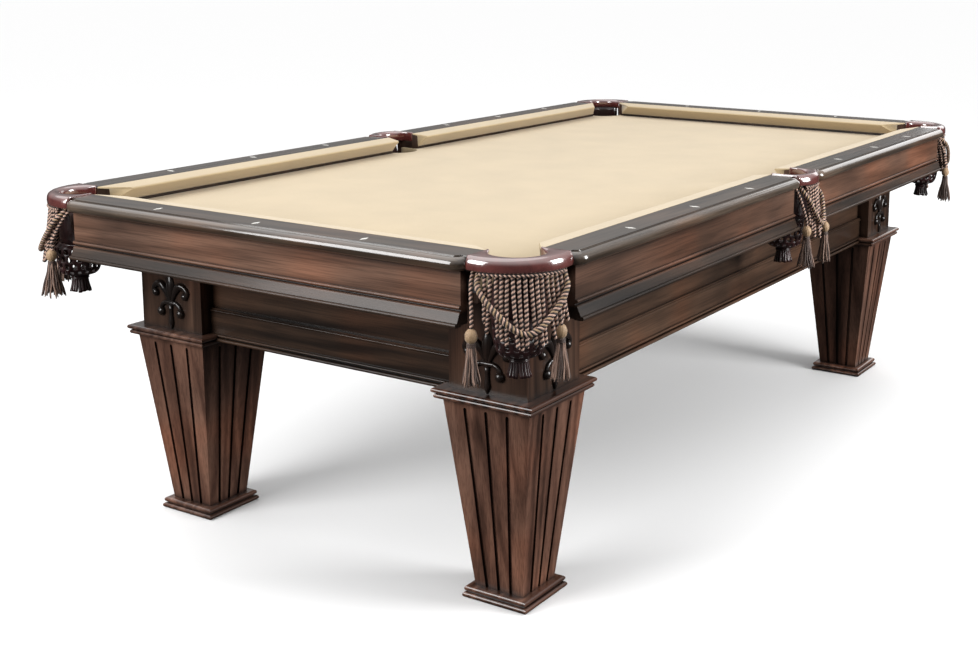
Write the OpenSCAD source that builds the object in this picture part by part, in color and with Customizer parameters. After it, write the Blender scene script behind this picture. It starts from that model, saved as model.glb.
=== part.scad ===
// Billiards table with six drop pockets: length along X, the near end at -X,
// the right-hand side at -Y, floor at Z = 0.

/* [Playing surface] */
// Length between the cushion noses of the two end rails
play_length = 2236; // [1900:4:2600]
// Width between the cushion noses of the two long sides
play_width = 1118; // [960:2:1300]

/* [Heights] */
// Floor to the flat top of the rail caps
rail_top = 780; // [740:1:830]
// Drop from the top of the rail caps to the bed cloth
bed_drop = 45; // [42:0.5:50]
// Height of the cushion nose above the bed cloth
nose_height = 36.5; // [35:0.5:38]
// Floor to the top of the leg collars, where the leg blocks start
collar_top = 455; // [430:1:500]
// Floor to the bottom edge of the cabinet aprons
apron_bottom = 440; // [400:1:460]

/* [Slate bed] */
// Thickness of the three slates
slate_thickness = 25; // [19:1:32]
// Thickness of the wooden liners under the slates
liner_thickness = 19; // [15:1:25]
// Thickness of the bed cloth
cloth_thickness = 1; // [0.6:0.1:1.6]
// Radius of the pocket cuts in slates, liners and cloth
slate_cut_radius = 59; // [58:0.5:64]

/* [Rails] */
// Cushion nose to the outer edge of the rail cap
rail_width = 132; // [122:1:150]
// Cushion nose to the inner edge of the rail cap
cushion_depth = 48; // [44:1:54]
// Thickness of the rail cap
cap_thickness = 28; // [20:1:29]
// Radius of the cap's outer corners in plan
cap_corner = 28; // [20:1:34]
// Cushion nose to the front of the rail body
rail_body_front = 30; // [26:1:36]
// Outer edge of the cap to the face of the rail apron
fascia_setback = 20; // [14:1:26]
// How much shorter the rail aprons are than the caps at the corner pockets
fascia_short = 14; // [3:1:16]
// The same at the side pockets
side_fascia_short = 6; // [3:1:9]
// Thickness of the rail apron board
fascia_thickness = 20; // [16:1:26]
// Top of the caps to the bottom of the rail apron's moulding
fascia_drop = 131; // [112:1:145]
// Height of the flared bottom moulding of the rail apron
flare_height = 26; // [18:1:28]
// How far the flared moulding stands out from the apron face
flare_reach = 18; // [14:1:22]
// Cushion nose to the centre of the sights
sight_offset = 90; // [80:1:100]
// Length of a diamond sight, across the rail
sight_length = 25; // [18:1:30]
// Width of a diamond sight, along the rail
sight_width = 10; // [7:0.5:13]

/* [Pockets] */
// Width of the corner pocket mouths between cushion tips
corner_mouth = 120; // [114:1:127]
// Width of the side pocket mouths between cushion tips
side_mouth = 132; // [127:1:140]
// Radius of the corner pocket holes
corner_hole = 52; // [48:0.5:55]
// Radius of the side pocket holes
side_hole = 54; // [50:0.5:56]
// Corner of the nose lines to the corner pocket hole's centre, outward
corner_setback = 40; // [34:1:46]
// Nose line to the side pocket hole's centre, outward
side_setback = 60; // [56:1:66]
// Height of the leather collars
collar_height = 27; // [24:0.5:32]
// Height of the collars above the rail caps
collar_rise = 3; // [0:0.5:5]
// Outer plan radius of the corner collars
corner_collar_radius = 120; // [112:1:130]
// Outer plan radius of the side collars
side_collar_radius = 90; // [80:1:110]
// Pocket hole's edge to the outside of the collar, straight out
corner_collar_width = 26; // [22:1:32]
// The same for the side collars
side_collar_width = 29; // [24:1:34]
// Outer radius of the pocket bags' rims
bag_rim = 57; // [56:0.5:57.5]
// Outer radius of the pocket bags below the rims
bag_radius = 50; // [47:0.5:52]
// How far a corner bag hangs outward of its pocket hole
corner_bag_shift = 18; // [8:1:20]
// Thickness of the leather
leather = 3; // [2:0.5:4]
// Liner's underside to the bottom of the bags
bag_depth = 103; // [90:1:130]
// Length of the slit leather skirt under a bag
skirt_length = 38; // [30:1:60]
// Radius of the leather skirt at its lower edge
skirt_radius = 24; // [20:1:30]
// Width of the slits in the leather skirt
skirt_slit = 3; // [2:0.5:5]

/* [Fringe and tassels] */
// Diameter of a fringe cord
fringe_cord = 7; // [5:0.5:9]
// Distance between fringe cords along the collar
fringe_pitch = 9.4; // [8:0.1:12]
// Length of the middle fringe cords
fringe_middle = 134; // [110:1:150]
// Length of the outermost fringe cords
fringe_end = 94; // [80:1:97]
// Angle at which the fringe cords splay outward
fringe_lean = 8; // [4:0.5:10]
// Diameter of the rope trim along the collars' lower edges
trim_rope = 6.5; // [5:0.5:8]
// Half the width of a corner fringe
corner_fringe_half = 68; // [58:1:70]
// Half the width of a side fringe
side_fringe_half = 30; // [24:1:32]
// Diameter of the swag rope draped over the fringe
swag_rope = 9; // [7:0.5:9.5]
// Diameter of the cords that a tassel hangs from
tassel_cord = 8; // [6:0.5:8.5]
// Diameter of a tassel's knob
tassel_knob = 24; // [18:1:28]
// Length of a tassel's skirt
tassel_skirt = 80; // [65:1:100]

/* [Legs] */
// Outer edge of the end rail to the leg centres, inward
leg_inset_x = 307; // [282:1:392]
// Outer edge of the side rail to the leg centres, inward
leg_inset_y = 248; // [232:1:302]
// Side of the square leg blocks
block_size = 190; // [176:1:225]
// Side of the square collars
collar_size = 244; // [232:1:262]
// Thickness of the collars
collar_thickness = 22; // [18:1:28]
// Side of the tapered shafts at the top
shaft_top = 208; // [190:1:222]
// Side of the tapered shafts at the bottom
shaft_foot = 118; // [100:1:135]
// Side of the foot plinths
plinth_size = 158; // [145:1:180]
// Height of the foot plinths
plinth_height = 25; // [20:1:34]
// Width of the flutes in the shafts
flute_width = 8; // [5:0.5:10]
// Depth of the flutes in the shafts
flute_depth = 5; // [2:0.5:6]
// Distance between the flutes' rounded ends and the top of the shaft
flute_margin = 16; // [10:1:30]
// Height of the carved ornaments
ornament_height = 118; // [100:1:140]
// Thickness of the carved ornaments
ornament_thickness = 11; // [8:0.5:16]

/* [Cabinet] */
// Outer face of the leg blocks to the face of the aprons
apron_recess = 27; // [20:1:44]
// Thickness of the aprons
apron_thickness = 26; // [22:1:30]
// Height of the thick lower part of the aprons
apron_board = 75; // [60:1:90]
// How far the upper part of the aprons steps back
apron_step = 8; // [4:1:12]
// Thickness of the frame beams
beam_thickness = 44; // [36:1:52]
// Height of the frame beams
beam_height = 130; // [110:1:150]
// Width of the beams under the slate joints
cross_beam_width = 90; // [70:2:120]

/* [Levellers and bolts] */
// Radius of a leveller's foot disc
leveller_disc = 24; // [18:0.5:28]
// Diameter of a leveller's stud
leveller_stud = 12; // [10:0.5:14]
// Thickness of a leveller's foot disc
leveller_disc_height = 5; // [4:0.5:7]
// Length of a leveller's stud above its disc
leveller_length = 62; // [50:1:80]
// Height of a leveller's foot above the floor when it is screwed in
leveller_rest = 1; // [0.6:0.1:2]
// Diameter of the rail bolts
rail_bolt = 10; // [8:0.5:12]
// Cushion nose to the row of rail bolts
rail_bolt_offset = 62; // [56:1:76]
// Diameter of the leg bolts
leg_bolt = 12; // [10:0.5:14]
// Length of the leg bolts under the head
leg_bolt_length = 76; // [70:1:86]

/* [Hidden] */
$fn = 64;

// Places that the pieces share
nose_x = play_length / 2;
nose_y = play_width / 2;
bed_z = rail_top - bed_drop;
slate_top = bed_z - cloth_thickness;
slate_bottom = slate_top - slate_thickness;
frame_top = slate_bottom - liner_thickness;
nose_z = bed_z + nose_height;
cap_bottom = rail_top - cap_thickness;
fascia_bottom = rail_top - fascia_drop;
fascia_face = rail_width - fascia_setback;
rail_body_back = fascia_face - fascia_thickness;
slate_reach = rail_body_back - 4;
rail_cloth = 2.5;
liner_gap = 2;
stud_margin = 22;
leg_x = nose_x + rail_width - leg_inset_x;
leg_y = nose_y + rail_width - leg_inset_y;
block_half = block_size / 2;
collar_bottom = collar_top - collar_thickness;
frame_x = leg_x + block_half - apron_recess - apron_thickness;
frame_y = leg_y + block_half - apron_recess - apron_thickness;
beam_bottom = frame_top - beam_height;
slate_joint = (nose_x + slate_reach) / 3;
sight_step_x = play_length / 8;
sight_step_y = play_width / 4;

// Pockets: the facing angles are those of a standard table
corner_facing = 142;
side_facing = 104;
corner_tip = corner_mouth / sqrt(2);
side_tip = side_mouth / 2;
corner_slope = tan(corner_facing - 90);
side_slope = tan(side_facing - 90);
corner_end = round(corner_tip - cushion_depth * corner_slope + 1);
side_end = round(side_tip - cushion_depth * side_slope + 4);
collar_z1 = rail_top + collar_rise;
collar_z0 = collar_z1 - collar_height;
corner_arc = corner_setback + corner_hole + corner_collar_width - corner_collar_radius;
side_arc = side_setback + side_hole + side_collar_width - side_collar_radius;

// Fringe band, drawn between the cords' circle and the collar's outer radius
fringe_inset = 6;
band_height = 5;

// Rope routes in a pocket's own frame: outward, sideways, and below the collar.
// Each is a swag's half up to its lowest point, or a tassel's cord down to its knob.
corner_swag = [[72, 76, 0], [72, 76, -6], [82, 80, -16], [96, 81, -30], [111, 68, -52],
  [124, 47, -75], [134, 24, -96], [137, 0, -105]];
side_swag = [[118, 41, 0], [118, 41, -6], [130, 43, -18], [143, 39, -36], [152, 28, -62],
  [159, 14, -86], [161, 0, -96]];
corner_tassel = [[63, 85, 0], [63, 85, -6], [74, 88, -20], [87, 88, -42], [98, 86, -65],
  [105, 85, -82], [107, 84, -93], [107, 84, -98]];
side_tassel = [[110, 51, 0], [110, 51, -6], [119, 54, -20], [129, 56, -42], [137, 57, -65],
  [142, 57, -82], [143, 57, -93], [143, 57, -98]];

walnut = [0.27, 0.17, 0.12];
walnut_red = [0.36, 0.21, 0.15];
poplar = [0.78, 0.68, 0.5];
slate_grey = [0.36, 0.38, 0.4];
tan_cloth = [0.86, 0.76, 0.58];
oxblood = [0.28, 0.1, 0.09];
rope_tan = [0.6, 0.48, 0.36];
steel = [0.6, 0.6, 0.62];
pearl = [0.93, 0.9, 0.84];

// Frames: sx is the end (-1 near, 1 far), sy the side (-1 right, 1 left)
module at_leg(sx, sy) {
  translate([sx * leg_x, sy * leg_y, 0])
    mirror([sx > 0 ? 0 : 1, 0, 0]) mirror([0, sy > 0 ? 0 : 1, 0]) children();
}
module at_legs() {
  for (sx = [-1, 1], sy = [-1, 1]) at_leg(sx, sy) children();
}
// A rail's own frame: x along the rail, y outward from the nose line
module at_end_rail(sx) {
  translate([sx * nose_x, 0, 0]) rotate([0, 0, -90 * sx]) children();
}
// The side pocket end of a long rail is at x = 0 and the corner end at -nose_x
module at_long_rail(sx, sy) {
  mirror([sx > 0 ? 1 : 0, 0, 0]) mirror([0, sy > 0 ? 0 : 1, 0])
    translate([0, nose_y, 0]) children();
}
// A pocket's own frame: x outward through its middle, y sideways
module at_corner(sx, sy) {
  mirror([sx > 0 ? 0 : 1, 0, 0]) mirror([0, sy > 0 ? 0 : 1, 0])
    translate([nose_x, nose_y, 0]) rotate([0, 0, 45]) children();
}
module at_side(sy) {
  mirror([0, sy > 0 ? 0 : 1, 0]) translate([0, nose_y, 0]) rotate([0, 0, 90]) children();
}
// A profile drawn in y and z, run along x from x0 to x1
module run_x(x0, x1) {
  translate([x0, 0, 0]) rotate([90, 0, 90]) linear_extrude(x1 - x0) children();
}

// Square plate with a moulded edge: the profile is drawn from the middle outward
module moulded_plate(half) {
  intersection() {
    run_x(-half, half) children();
    rotate([0, 0, 90]) run_x(-half, half) children();
  }
}
module half_round(half, z0, height) {
  radius = height / 2;
  translate([-half + radius, z0]) square([2 * (half - radius), height]);
  for (side = [-1, 1]) translate([side * (half - radius), z0 + radius]) circle(radius);
}

// Legs
module leg_shaft() {
  foot = shaft_foot / 2;
  spread = (shaft_top - shaft_foot) / 2;
  height = collar_bottom - plinth_height;
  slope = atan2(spread, height);
  face_length = height / cos(slope);
  color(walnut)
    translate([0, 0, plinth_height]) difference() {
      linear_extrude(height, scale = shaft_top / shaft_foot) square(shaft_foot, center = true);
      for (side = [0:3]) rotate([0, 0, 90 * side]) translate([foot, 0, 0]) rotate([0, slope, 0])
        for (place = [-0.5, 0, 0.5])
          translate([-flute_depth, place * foot, 0]) rotate([-atan2(place * spread, face_length), 0, 0])
            flute(face_length - flute_margin);
      translate([0, 0, -1]) cylinder(h = stud_top() + stud_margin - plinth_height, d = stud_hole());
    }
}
function stud_top() = leveller_rest + leveller_disc_height + leveller_length;
function stud_hole() = leveller_stud + 0.2;
// A shallow groove up one face, with a round upper end
module flute(length) {
  rotate([90, 0, 90]) linear_extrude(2 * flute_depth) {
    translate([-flute_width / 2, -flute_width]) square([flute_width, length + flute_width]);
    translate([0, length]) circle(d = flute_width);
  }
}
module foot_plinth() {
  half = plinth_size / 2;
  tier = plinth_height * 0.46;
  color(walnut) difference() {
    moulded_plate(half) {
      half_round(half, 0, tier);
      half_round(half - 3, plinth_height - tier, tier);
      translate([-half + 9, 0]) square([2 * half - 18, plinth_height]);
      translate([-half + tier / 2, 0]) square([2 * half - tier, tier / 2]);
    }
    translate([0, 0, -1]) cylinder(h = leveller_disc / 2 + 1, r = leveller_disc + 6);
    cylinder(h = plinth_height + 1, d = stud_hole());
  }
}
module leg_collar() {
  half = collar_size / 2;
  tier = collar_thickness * 0.46;
  color(walnut) moulded_plate(half) {
    half_round(half, collar_top - tier, tier);
    half_round(half - 4, collar_bottom, tier);
    translate([-half + 10, collar_bottom]) square([2 * half - 20, collar_thickness]);
  }
}
module leg_block() {
  color(walnut) difference() {
    translate([-block_half, -block_half, collar_top])
      cube([block_size, block_size, frame_top - collar_top]);
    translate([-leg_x, -leg_y, beam_bottom]) cube([frame_x, frame_y, beam_height + 1]);
    for (place = leg_bolt_places()) translate([place, frame_y - leg_y - 1, beam_middle()])
      rotate([-90, 0, 0]) cylinder(h = leg_bolt_length - beam_thickness + 4, d = leg_bolt + 1);
    for (place = leg_bolt_places()) translate([frame_x - leg_x - 1, place, beam_middle()])
      rotate([0, 90, 0]) cylinder(h = leg_bolt_length - beam_thickness + 4, d = leg_bolt + 1);
  }
}
function leg_bolt_places() = [-block_half + 26, -block_half + 64];
function beam_middle() = frame_top - beam_height / 2;

// Carved lily ornament, drawn face on, with the point of its stem below y = 0
module lily() {
  h = ornament_height;
  difference() {
    intersection() {
      translate([-0.3 * h, 0.68 * h]) circle(0.42 * h);
      translate([0.3 * h, 0.68 * h]) circle(0.42 * h);
    }
    translate([-h, -h]) square([2 * h, 1.3 * h]);
  }
  for (side = [-1, 1]) mirror([side > 0 ? 0 : 1, 0]) {
    difference() {
      translate([0.29 * h, 0.62 * h]) circle(0.21 * h);
      translate([0.31 * h, 0.55 * h]) circle(0.14 * h);
      translate([0.06 * h, 0.2 * h]) square([0.5 * h, 0.32 * h]);
    }
    translate([0.42 * h, 0.52 * h]) circle(0.075 * h);
    difference() {
      translate([0.16 * h, 0.24 * h]) circle(0.15 * h);
      translate([0.17 * h, 0.2 * h]) circle(0.08 * h);
      translate([0, -0.1 * h]) square([0.4 * h, 0.28 * h]);
    }
    translate([0.27 * h, 0.18 * h]) circle(0.06 * h);
  }
  translate([-0.2 * h, 0.32 * h]) square([0.4 * h, 0.075 * h]);
  polygon([[0, -0.15 * h], [0.06 * h, 0.01 * h], [0.04 * h, 0.14 * h], [0.07 * h, 0.34 * h],
    [-0.07 * h, 0.34 * h], [-0.04 * h, 0.14 * h], [-0.06 * h, 0.01 * h]]);
}
module leg_ornament() {
  foot = collar_top + 0.16 * ornament_height;
  color(walnut) {
    translate([0, block_half, foot]) rotate([90, 0, 180]) linear_extrude(ornament_thickness) lily();
    translate([block_half, 0, foot]) rotate([90, 0, 90]) linear_extrude(ornament_thickness) lily();
  }
}
module leveller() {
  color(steel) translate([0, 0, leveller_rest]) {
    cylinder(h = leveller_disc_height, r = leveller_disc);
    translate([0, 0, leveller_disc_height]) {
      cylinder(h = 3, r1 = leveller_disc * 0.6, r2 = leveller_stud / 2 + 2);
      cylinder(h = leveller_length, d = leveller_stud);
    }
  }
}

// Cabinet: y is outward from the frame beams' outer face
module apron(half_gap, clear) {
  face = apron_thickness;
  board_top = apron_bottom + apron_board;
  color(walnut_red) difference() {
    run_x(-half_gap, half_gap) {
      translate([0, apron_bottom]) square([face, apron_board]);
      translate([0, board_top]) square([face - apron_step, frame_top - board_top]);
      translate([face - 1, apron_bottom]) square([7, 8]);
      translate([face + 6, apron_bottom + 4]) circle(4);
      translate([face - 1, apron_bottom + 10]) square([4, 6]);
      translate([face + 3, apron_bottom + 13]) circle(3);
      translate([face, board_top - 6]) circle(3);
    }
    for (end = [-1, 1])
      translate([end * half_gap - clear, -1, apron_bottom - 1])
        cube([2 * clear, 2 * face, collar_top - apron_bottom + 1]);
  }
}
module long_apron(sy) {
  mirror([0, sy > 0 ? 0 : 1, 0]) translate([0, frame_y, 0])
    apron(leg_x - block_half, (collar_size - block_size) / 2);
}
module end_apron(sx) {
  rotate([0, 0, -90 * sx]) translate([0, frame_x, 0])
    apron(leg_y - block_half, (collar_size - block_size) / 2);
}
module frame_side_beams() {
  color(poplar) for (sy = [-1, 1]) difference() {
    translate([-frame_x, sy * (frame_y - beam_thickness / 2) - beam_thickness / 2, beam_bottom])
      cube([2 * frame_x, beam_thickness, beam_height]);
    for (sx = [-1, 1], place = leg_bolt_places())
      translate([sx * (leg_x + place), sy * frame_y, beam_middle()])
        rotate([90, 0, 0]) cylinder(h = 2 * beam_thickness + 2, d = leg_bolt + 1, center = true);
  }
}
module frame_cross_beams() {
  inner_y = frame_y - beam_thickness;
  color(poplar) {
    for (sx = [-1, 1]) difference() {
      translate([sx * (frame_x - beam_thickness / 2) - beam_thickness / 2, -inner_y, beam_bottom])
        cube([beam_thickness, 2 * inner_y, beam_height]);
      for (sy = [-1, 1], place = leg_bolt_places())
        translate([sx * frame_x, sy * (leg_y + place), beam_middle()])
          rotate([0, 90, 0]) cylinder(h = 2 * beam_thickness + 2, d = leg_bolt + 1, center = true);
    }
    for (sx = [-1, 1]) translate([sx * slate_joint - cross_beam_width / 2, -inner_y, beam_bottom])
      cube([cross_beam_width, 2 * inner_y, beam_height]);
  }
}
module bolt(diameter, length) {
  cylinder(h = length, d = diameter);
  translate([0, 0, -diameter * 0.25]) cylinder(h = diameter * 0.25, r = diameter);
  translate([0, 0, -diameter * 0.9]) cylinder(h = diameter * 0.65, r = diameter * 0.95, $fn = 6);
}
module leg_bolts() {
  color(steel) for (sx = [-1, 1], sy = [-1, 1], place = leg_bolt_places()) {
    translate([sx * (leg_x + place), sy * (frame_y - beam_thickness), beam_middle()])
      rotate([-90 * sy, 0, 0]) bolt(leg_bolt, leg_bolt_length);
    translate([sx * (frame_x - beam_thickness), sy * (leg_y + place), beam_middle()])
      rotate([0, 90 * sx, 0]) bolt(leg_bolt, leg_bolt_length);
  }
}

// Bed: the outline of slates, liners and cloth, with its six pocket cuts
module bed_outline(reach, cut) {
  difference() {
    translate([-nose_x - reach, -nose_y - reach]) square([play_length, play_width] + 2 * [reach, reach]);
    for (sx = [-1, 1], sy = [-1, 1]) mirror([sx > 0 ? 0 : 1, 0]) mirror([0, sy > 0 ? 0 : 1])
      translate([nose_x, nose_y]) {
        rotate(45) translate([corner_setback, 0]) circle(cut);
        translate([-corner_end + 6, -corner_end + 6]) square(2 * rail_width);
      }
    for (sy = [-1, 1]) mirror([0, sy > 0 ? 0 : 1]) translate([0, nose_y + side_setback]) {
      circle(cut);
      translate([-side_end + 6, 0]) square([2 * side_end - 12, rail_width]);
    }
  }
}
module bed_board(x0, x1, z0, thickness, reach) {
  bolt_hole = rail_bolt + 1;
  difference() {
    translate([0, 0, z0]) linear_extrude(thickness) intersection() {
      bed_outline(reach, slate_cut_radius);
      translate([x0, -play_width]) square([x1 - x0, 2 * play_width]);
    }
    at_rail_bolts() translate([0, 0, z0 - 1]) cylinder(h = thickness + 2, d = bolt_hole);
  }
}
module slate(x0, x1) {
  color(slate_grey) bed_board(x0, x1, slate_bottom, slate_thickness, slate_reach);
}
module slate_liners() {
  color(poplar) for (third = [-3, -1, 1])
    bed_board(third * slate_joint + liner_gap / 2, (third + 2) * slate_joint - liner_gap / 2,
      frame_top, liner_thickness, slate_reach);
}
module bed_cloth() {
  color(tan_cloth)
    bed_board(-2 * nose_x, 2 * nose_x, slate_top, cloth_thickness, slate_reach - 2);
}
module at_rail_bolts() {
  for (sx = [-1, 1]) {
    at_end_rail(sx) for (place = [-1.2, 0, 1.2])
      translate([place * sight_step_y, rail_bolt_offset, 0]) children();
    for (sy = [-1, 1]) at_long_rail(sx, sy) for (place = [0.8, 2, 3.1])
      translate([-place * sight_step_x, rail_bolt_offset, 0]) children();
  }
}
module rail_bolts() {
  color(steel) at_rail_bolts() translate([0, 0, frame_top])
    bolt(rail_bolt, cap_bottom - 4 - frame_top);
}

// Rails: plan of a rail between its pocket facings, y outward from the nose
module rail_plan(a_tip, a_slope, b_tip, b_slope, a_end, b_end) {
  polygon([[a_tip, 0], [b_tip, 0], [b_tip - b_slope * cushion_depth, cushion_depth],
    [b_end, cushion_depth], [b_end, rail_width], [a_end, rail_width], [a_end, cushion_depth],
    [a_tip - a_slope * cushion_depth, cushion_depth]]);
}
module end_rail_plan() {
  tip = nose_y - corner_tip;
  end = nose_y - corner_end;
  rail_plan(-tip, corner_slope, tip, -corner_slope, -end, end);
}
module long_rail_plan() {
  rail_plan(-nose_x + corner_tip, corner_slope, -side_tip, -side_slope, -nose_x + corner_end, -side_end);
}
module end_rail_cut() {
  intersection() {
    children();
    linear_extrude(rail_top + 1) end_rail_plan();
  }
}
module long_rail_cut() {
  intersection() {
    children();
    linear_extrude(rail_top + 1) long_rail_plan();
  }
}
// Rubber cushion with its cloth, which runs back over the rail body to the cap
module cushion_profile() {
  polygon([[0, nose_z], [1.5, nose_z + 3], [cushion_depth, rail_top],
    [cushion_depth, rail_top - rail_cloth], [rail_body_front + 2, nose_z + 3],
    [rail_body_front, bed_z + 7], [rail_body_front - 6, bed_z + 14]]);
}
module cushion_end(sx) {
  color(tan_cloth) at_end_rail(sx) end_rail_cut() run_x(-nose_y, nose_y) cushion_profile();
}
module cushion_long(sx, sy) {
  color(tan_cloth) at_long_rail(sx, sy) long_rail_cut() run_x(-nose_x, 0) cushion_profile();
}
// Wooden rail body under the cap and behind the cushion
module rail_body_profile() {
  polygon([[rail_body_front, bed_z], [rail_body_back, bed_z], [rail_body_back, cap_bottom],
    [cushion_depth, cap_bottom], [cushion_depth, rail_top - rail_cloth],
    [rail_body_front + 2, nose_z + 3], [rail_body_front, bed_z + 7]]);
}
module rail_bodies() {
  color(poplar) difference() {
    for (sx = [-1, 1]) {
      at_end_rail(sx) end_rail_cut() run_x(-nose_y, nose_y) rail_body_profile();
      for (sy = [-1, 1])
        at_long_rail(sx, sy) long_rail_cut() run_x(-nose_x, 0) rail_body_profile();
    }
    at_rail_bolts() translate([0, 0, bed_z - 1])
      cylinder(h = cap_bottom - bed_z - 2, d = rail_bolt + 1);
  }
}
// Edge of the cap, drawn outward from the centre of its rounded corner
module cap_edge_profile() {
  nosing = (cap_thickness - 2) / 2;
  translate([0, cap_bottom]) square([cap_corner - nosing - 6, cap_thickness]);
  translate([0, cap_bottom]) square([cap_corner - nosing - 3, cap_thickness - 1]);
  translate([0, cap_bottom]) square([cap_corner - nosing, 2 * nosing]);
  translate([cap_corner - nosing, cap_bottom + nosing]) circle(nosing);
}
module rail_cap(x0, x1, sights) {
  corner_y = rail_width - cap_corner;
  difference() {
    union() {
      translate([x0, cushion_depth, cap_bottom]) cube([x1 - x0, corner_y - cushion_depth, cap_thickness]);
      translate([0, corner_y, 0]) run_x(x0 + cap_corner, x1 - cap_corner) cap_edge_profile();
      translate([x0 + cap_corner, corner_y, 0]) rotate([0, 0, 90])
        rotate_extrude(angle = 90) cap_edge_profile();
      translate([x1 - cap_corner, corner_y, 0]) rotate_extrude(angle = 90) cap_edge_profile();
    }
    for (place = sights) translate([place, sight_offset, rail_top - sight_depth()])
      linear_extrude(2 * sight_depth()) sight_plan();
  }
}
function sight_depth() = 1.5;
module sight_plan() {
  polygon([[-sight_width / 2, 0], [0, -sight_length / 2], [sight_width / 2, 0], [0, sight_length / 2]]);
}
function end_sights() = [for (k = [-1:1]) k * sight_step_y];
function long_sights() = [for (k = [1:3]) -k * sight_step_x];
module rail_cap_end(sx) {
  end = nose_y - corner_end;
  color(walnut) at_end_rail(sx) rail_cap(-end, end, end_sights());
}
module rail_cap_long(sx, sy) {
  color(walnut) at_long_rail(sx, sy) rail_cap(-nose_x + corner_end, -side_end, long_sights());
}
module sights() {
  color(pearl) for (sx = [-1, 1]) {
    at_end_rail(sx) for (place = end_sights()) sight(place);
    for (sy = [-1, 1]) at_long_rail(sx, sy) for (place = long_sights()) sight(place);
  }
}
module sight(place) {
  translate([place, sight_offset, rail_top - sight_depth()])
    linear_extrude(sight_depth() + 0.3) sight_plan();
}
// Apron board under the cap, with a ledge bead, a groove and a flared bottom moulding
module fascia_profile() {
  face = fascia_face;
  flare_top = fascia_bottom + flare_height;
  ledge = flare_top + 9.5;
  difference() {
    union() {
      translate([rail_body_back, fascia_bottom + 2])
        square([fascia_thickness, cap_bottom - fascia_bottom - 2]);
      translate([face - 1, ledge - 3.5]) square([3, 7]);
      translate([face + 2, ledge]) circle(3.5);
      translate([face - 1, flare_top - 1]) square([4.5, 3]);
      polygon([[face - 2, fascia_bottom], [face + flare_reach - 4, fascia_bottom],
        [face + flare_reach - 6, fascia_bottom + 8], [face + 4, flare_top], [face - 2, flare_top]]);
      translate([face + flare_reach - 4, fascia_bottom + 4]) circle(4);
    }
    translate([face + 0.5, flare_top + 4]) circle(1.8);
  }
}
module rail_apron_end(sx) {
  end = nose_y - corner_end - fascia_short;
  color(walnut_red) at_end_rail(sx) run_x(-end, end) fascia_profile();
}
module rail_apron_long(sx, sy) {
  color(walnut_red) at_long_rail(sx, sy)
    run_x(-nose_x + corner_end + fascia_short, -side_end - side_fascia_short) fascia_profile();
}

// Pockets: a leather-covered iron collar between the rail ends
module collar_solid(hole_x, hole, arc_x, arc) {
  top_round = 13;
  foot_round = 4;
  lip = 10;
  difference() {
    translate([arc_x, 0, 0]) rotate_extrude() {
      translate([0, collar_z0]) square([arc - top_round, collar_height]);
      translate([0, collar_z0]) square([arc - foot_round, collar_height - top_round]);
      translate([0, collar_z0 + foot_round])
        square([arc, collar_height - top_round - foot_round]);
      translate([arc - top_round, collar_z1 - top_round]) circle(top_round);
      translate([arc - foot_round, collar_z0 + foot_round]) circle(foot_round);
    }
    translate([hole_x, 0, 0]) rotate_extrude() {
      translate([0, collar_z0 - 1]) square([hole, collar_height + 2]);
      difference() {
        translate([hole - 1, collar_z1 - lip]) square([lip + 1, lip + 1]);
        translate([hole + lip, collar_z1 - lip]) circle(lip);
      }
    }
  }
}
module corner_collar(sx, sy) {
  color(oxblood) at_corner(sx, sy) intersection() {
    collar_solid(corner_setback, corner_hole, corner_arc, corner_collar_radius);
    linear_extrude(2 * rail_top) rotate(-45) difference() {
      translate([-corner_end, -corner_end]) square(3 * rail_width);
      translate([-2 * corner_end, -2 * corner_end]) square(2 * corner_end + cushion_depth);
    }
  }
}
module side_collar(sy) {
  color(oxblood) at_side(sy) intersection() {
    collar_solid(side_setback, side_hole, side_arc, side_collar_radius);
    linear_extrude(2 * rail_top) translate([cushion_depth, -side_end])
      square([2 * rail_width, 2 * side_end]);
  }
}
// Bag: a rim with a tall shield behind the collar, a shoulder, a sewn bowl and a slit skirt
module bag_solid(hole_x, bowl_x, shield_half_angle) {
  top = frame_top;
  neck = frame_top - 20;
  bottom = frame_top - bag_depth;
  foot = bottom - skirt_length;
  r = bag_radius;
  translate([hole_x, 0, 0]) {
    rotate_extrude() {
      translate([bag_rim - leather, neck]) square([leather, top - neck]);
      translate([bag_rim - leather, top - leather]) square([leather + 4, leather]);
    }
    rotate([0, 0, -shield_half_angle]) rotate_extrude(angle = 2 * shield_half_angle)
      translate([bag_rim - leather - 0.5, top - leather])
        square([leather, collar_z0 - top + leather]);
  }
  translate([0, 0, neck - leather]) linear_extrude(leather + 1) difference() {
    union() {
      translate([hole_x, 0]) circle(bag_rim);
      translate([bowl_x, 0]) circle(r);
    }
    intersection() {
      translate([hole_x, 0]) circle(bag_rim - leather);
      translate([bowl_x, 0]) circle(r - leather);
    }
  }
  translate([bowl_x, 0, 0]) {
    rotate_extrude() polygon([[r, neck - 1], [r - leather, neck - 1], [r - leather, neck - 8],
      [r - leather - 1, neck - 30],
      [r - leather - 4, bottom + 27], [r - leather - 9, bottom + 12], [r - leather - 19, bottom + 5],
      [0, bottom + leather], [0, bottom], [r - 18, bottom + 2], [r - 8, bottom + 9],
      [r - 4, bottom + 25], [r - 1, neck - 30], [r, neck - 8]]);
    difference() {
      rotate_extrude() polygon([[16 - leather, bottom + 1.5], [skirt_radius - leather, foot],
        [skirt_radius, foot], [16, bottom + 1.5]]);
      for (turn = [0:3]) rotate([0, 0, 45 * turn])
        translate([-2 * skirt_radius, -skirt_slit / 2, foot - 1])
          cube([4 * skirt_radius, skirt_slit, skirt_length - 7]);
    }
  }
}
module corner_bag(sx, sy) {
  color(oxblood) at_corner(sx, sy)
    bag_solid(corner_setback, corner_setback + corner_bag_shift, 70);
}
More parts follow.
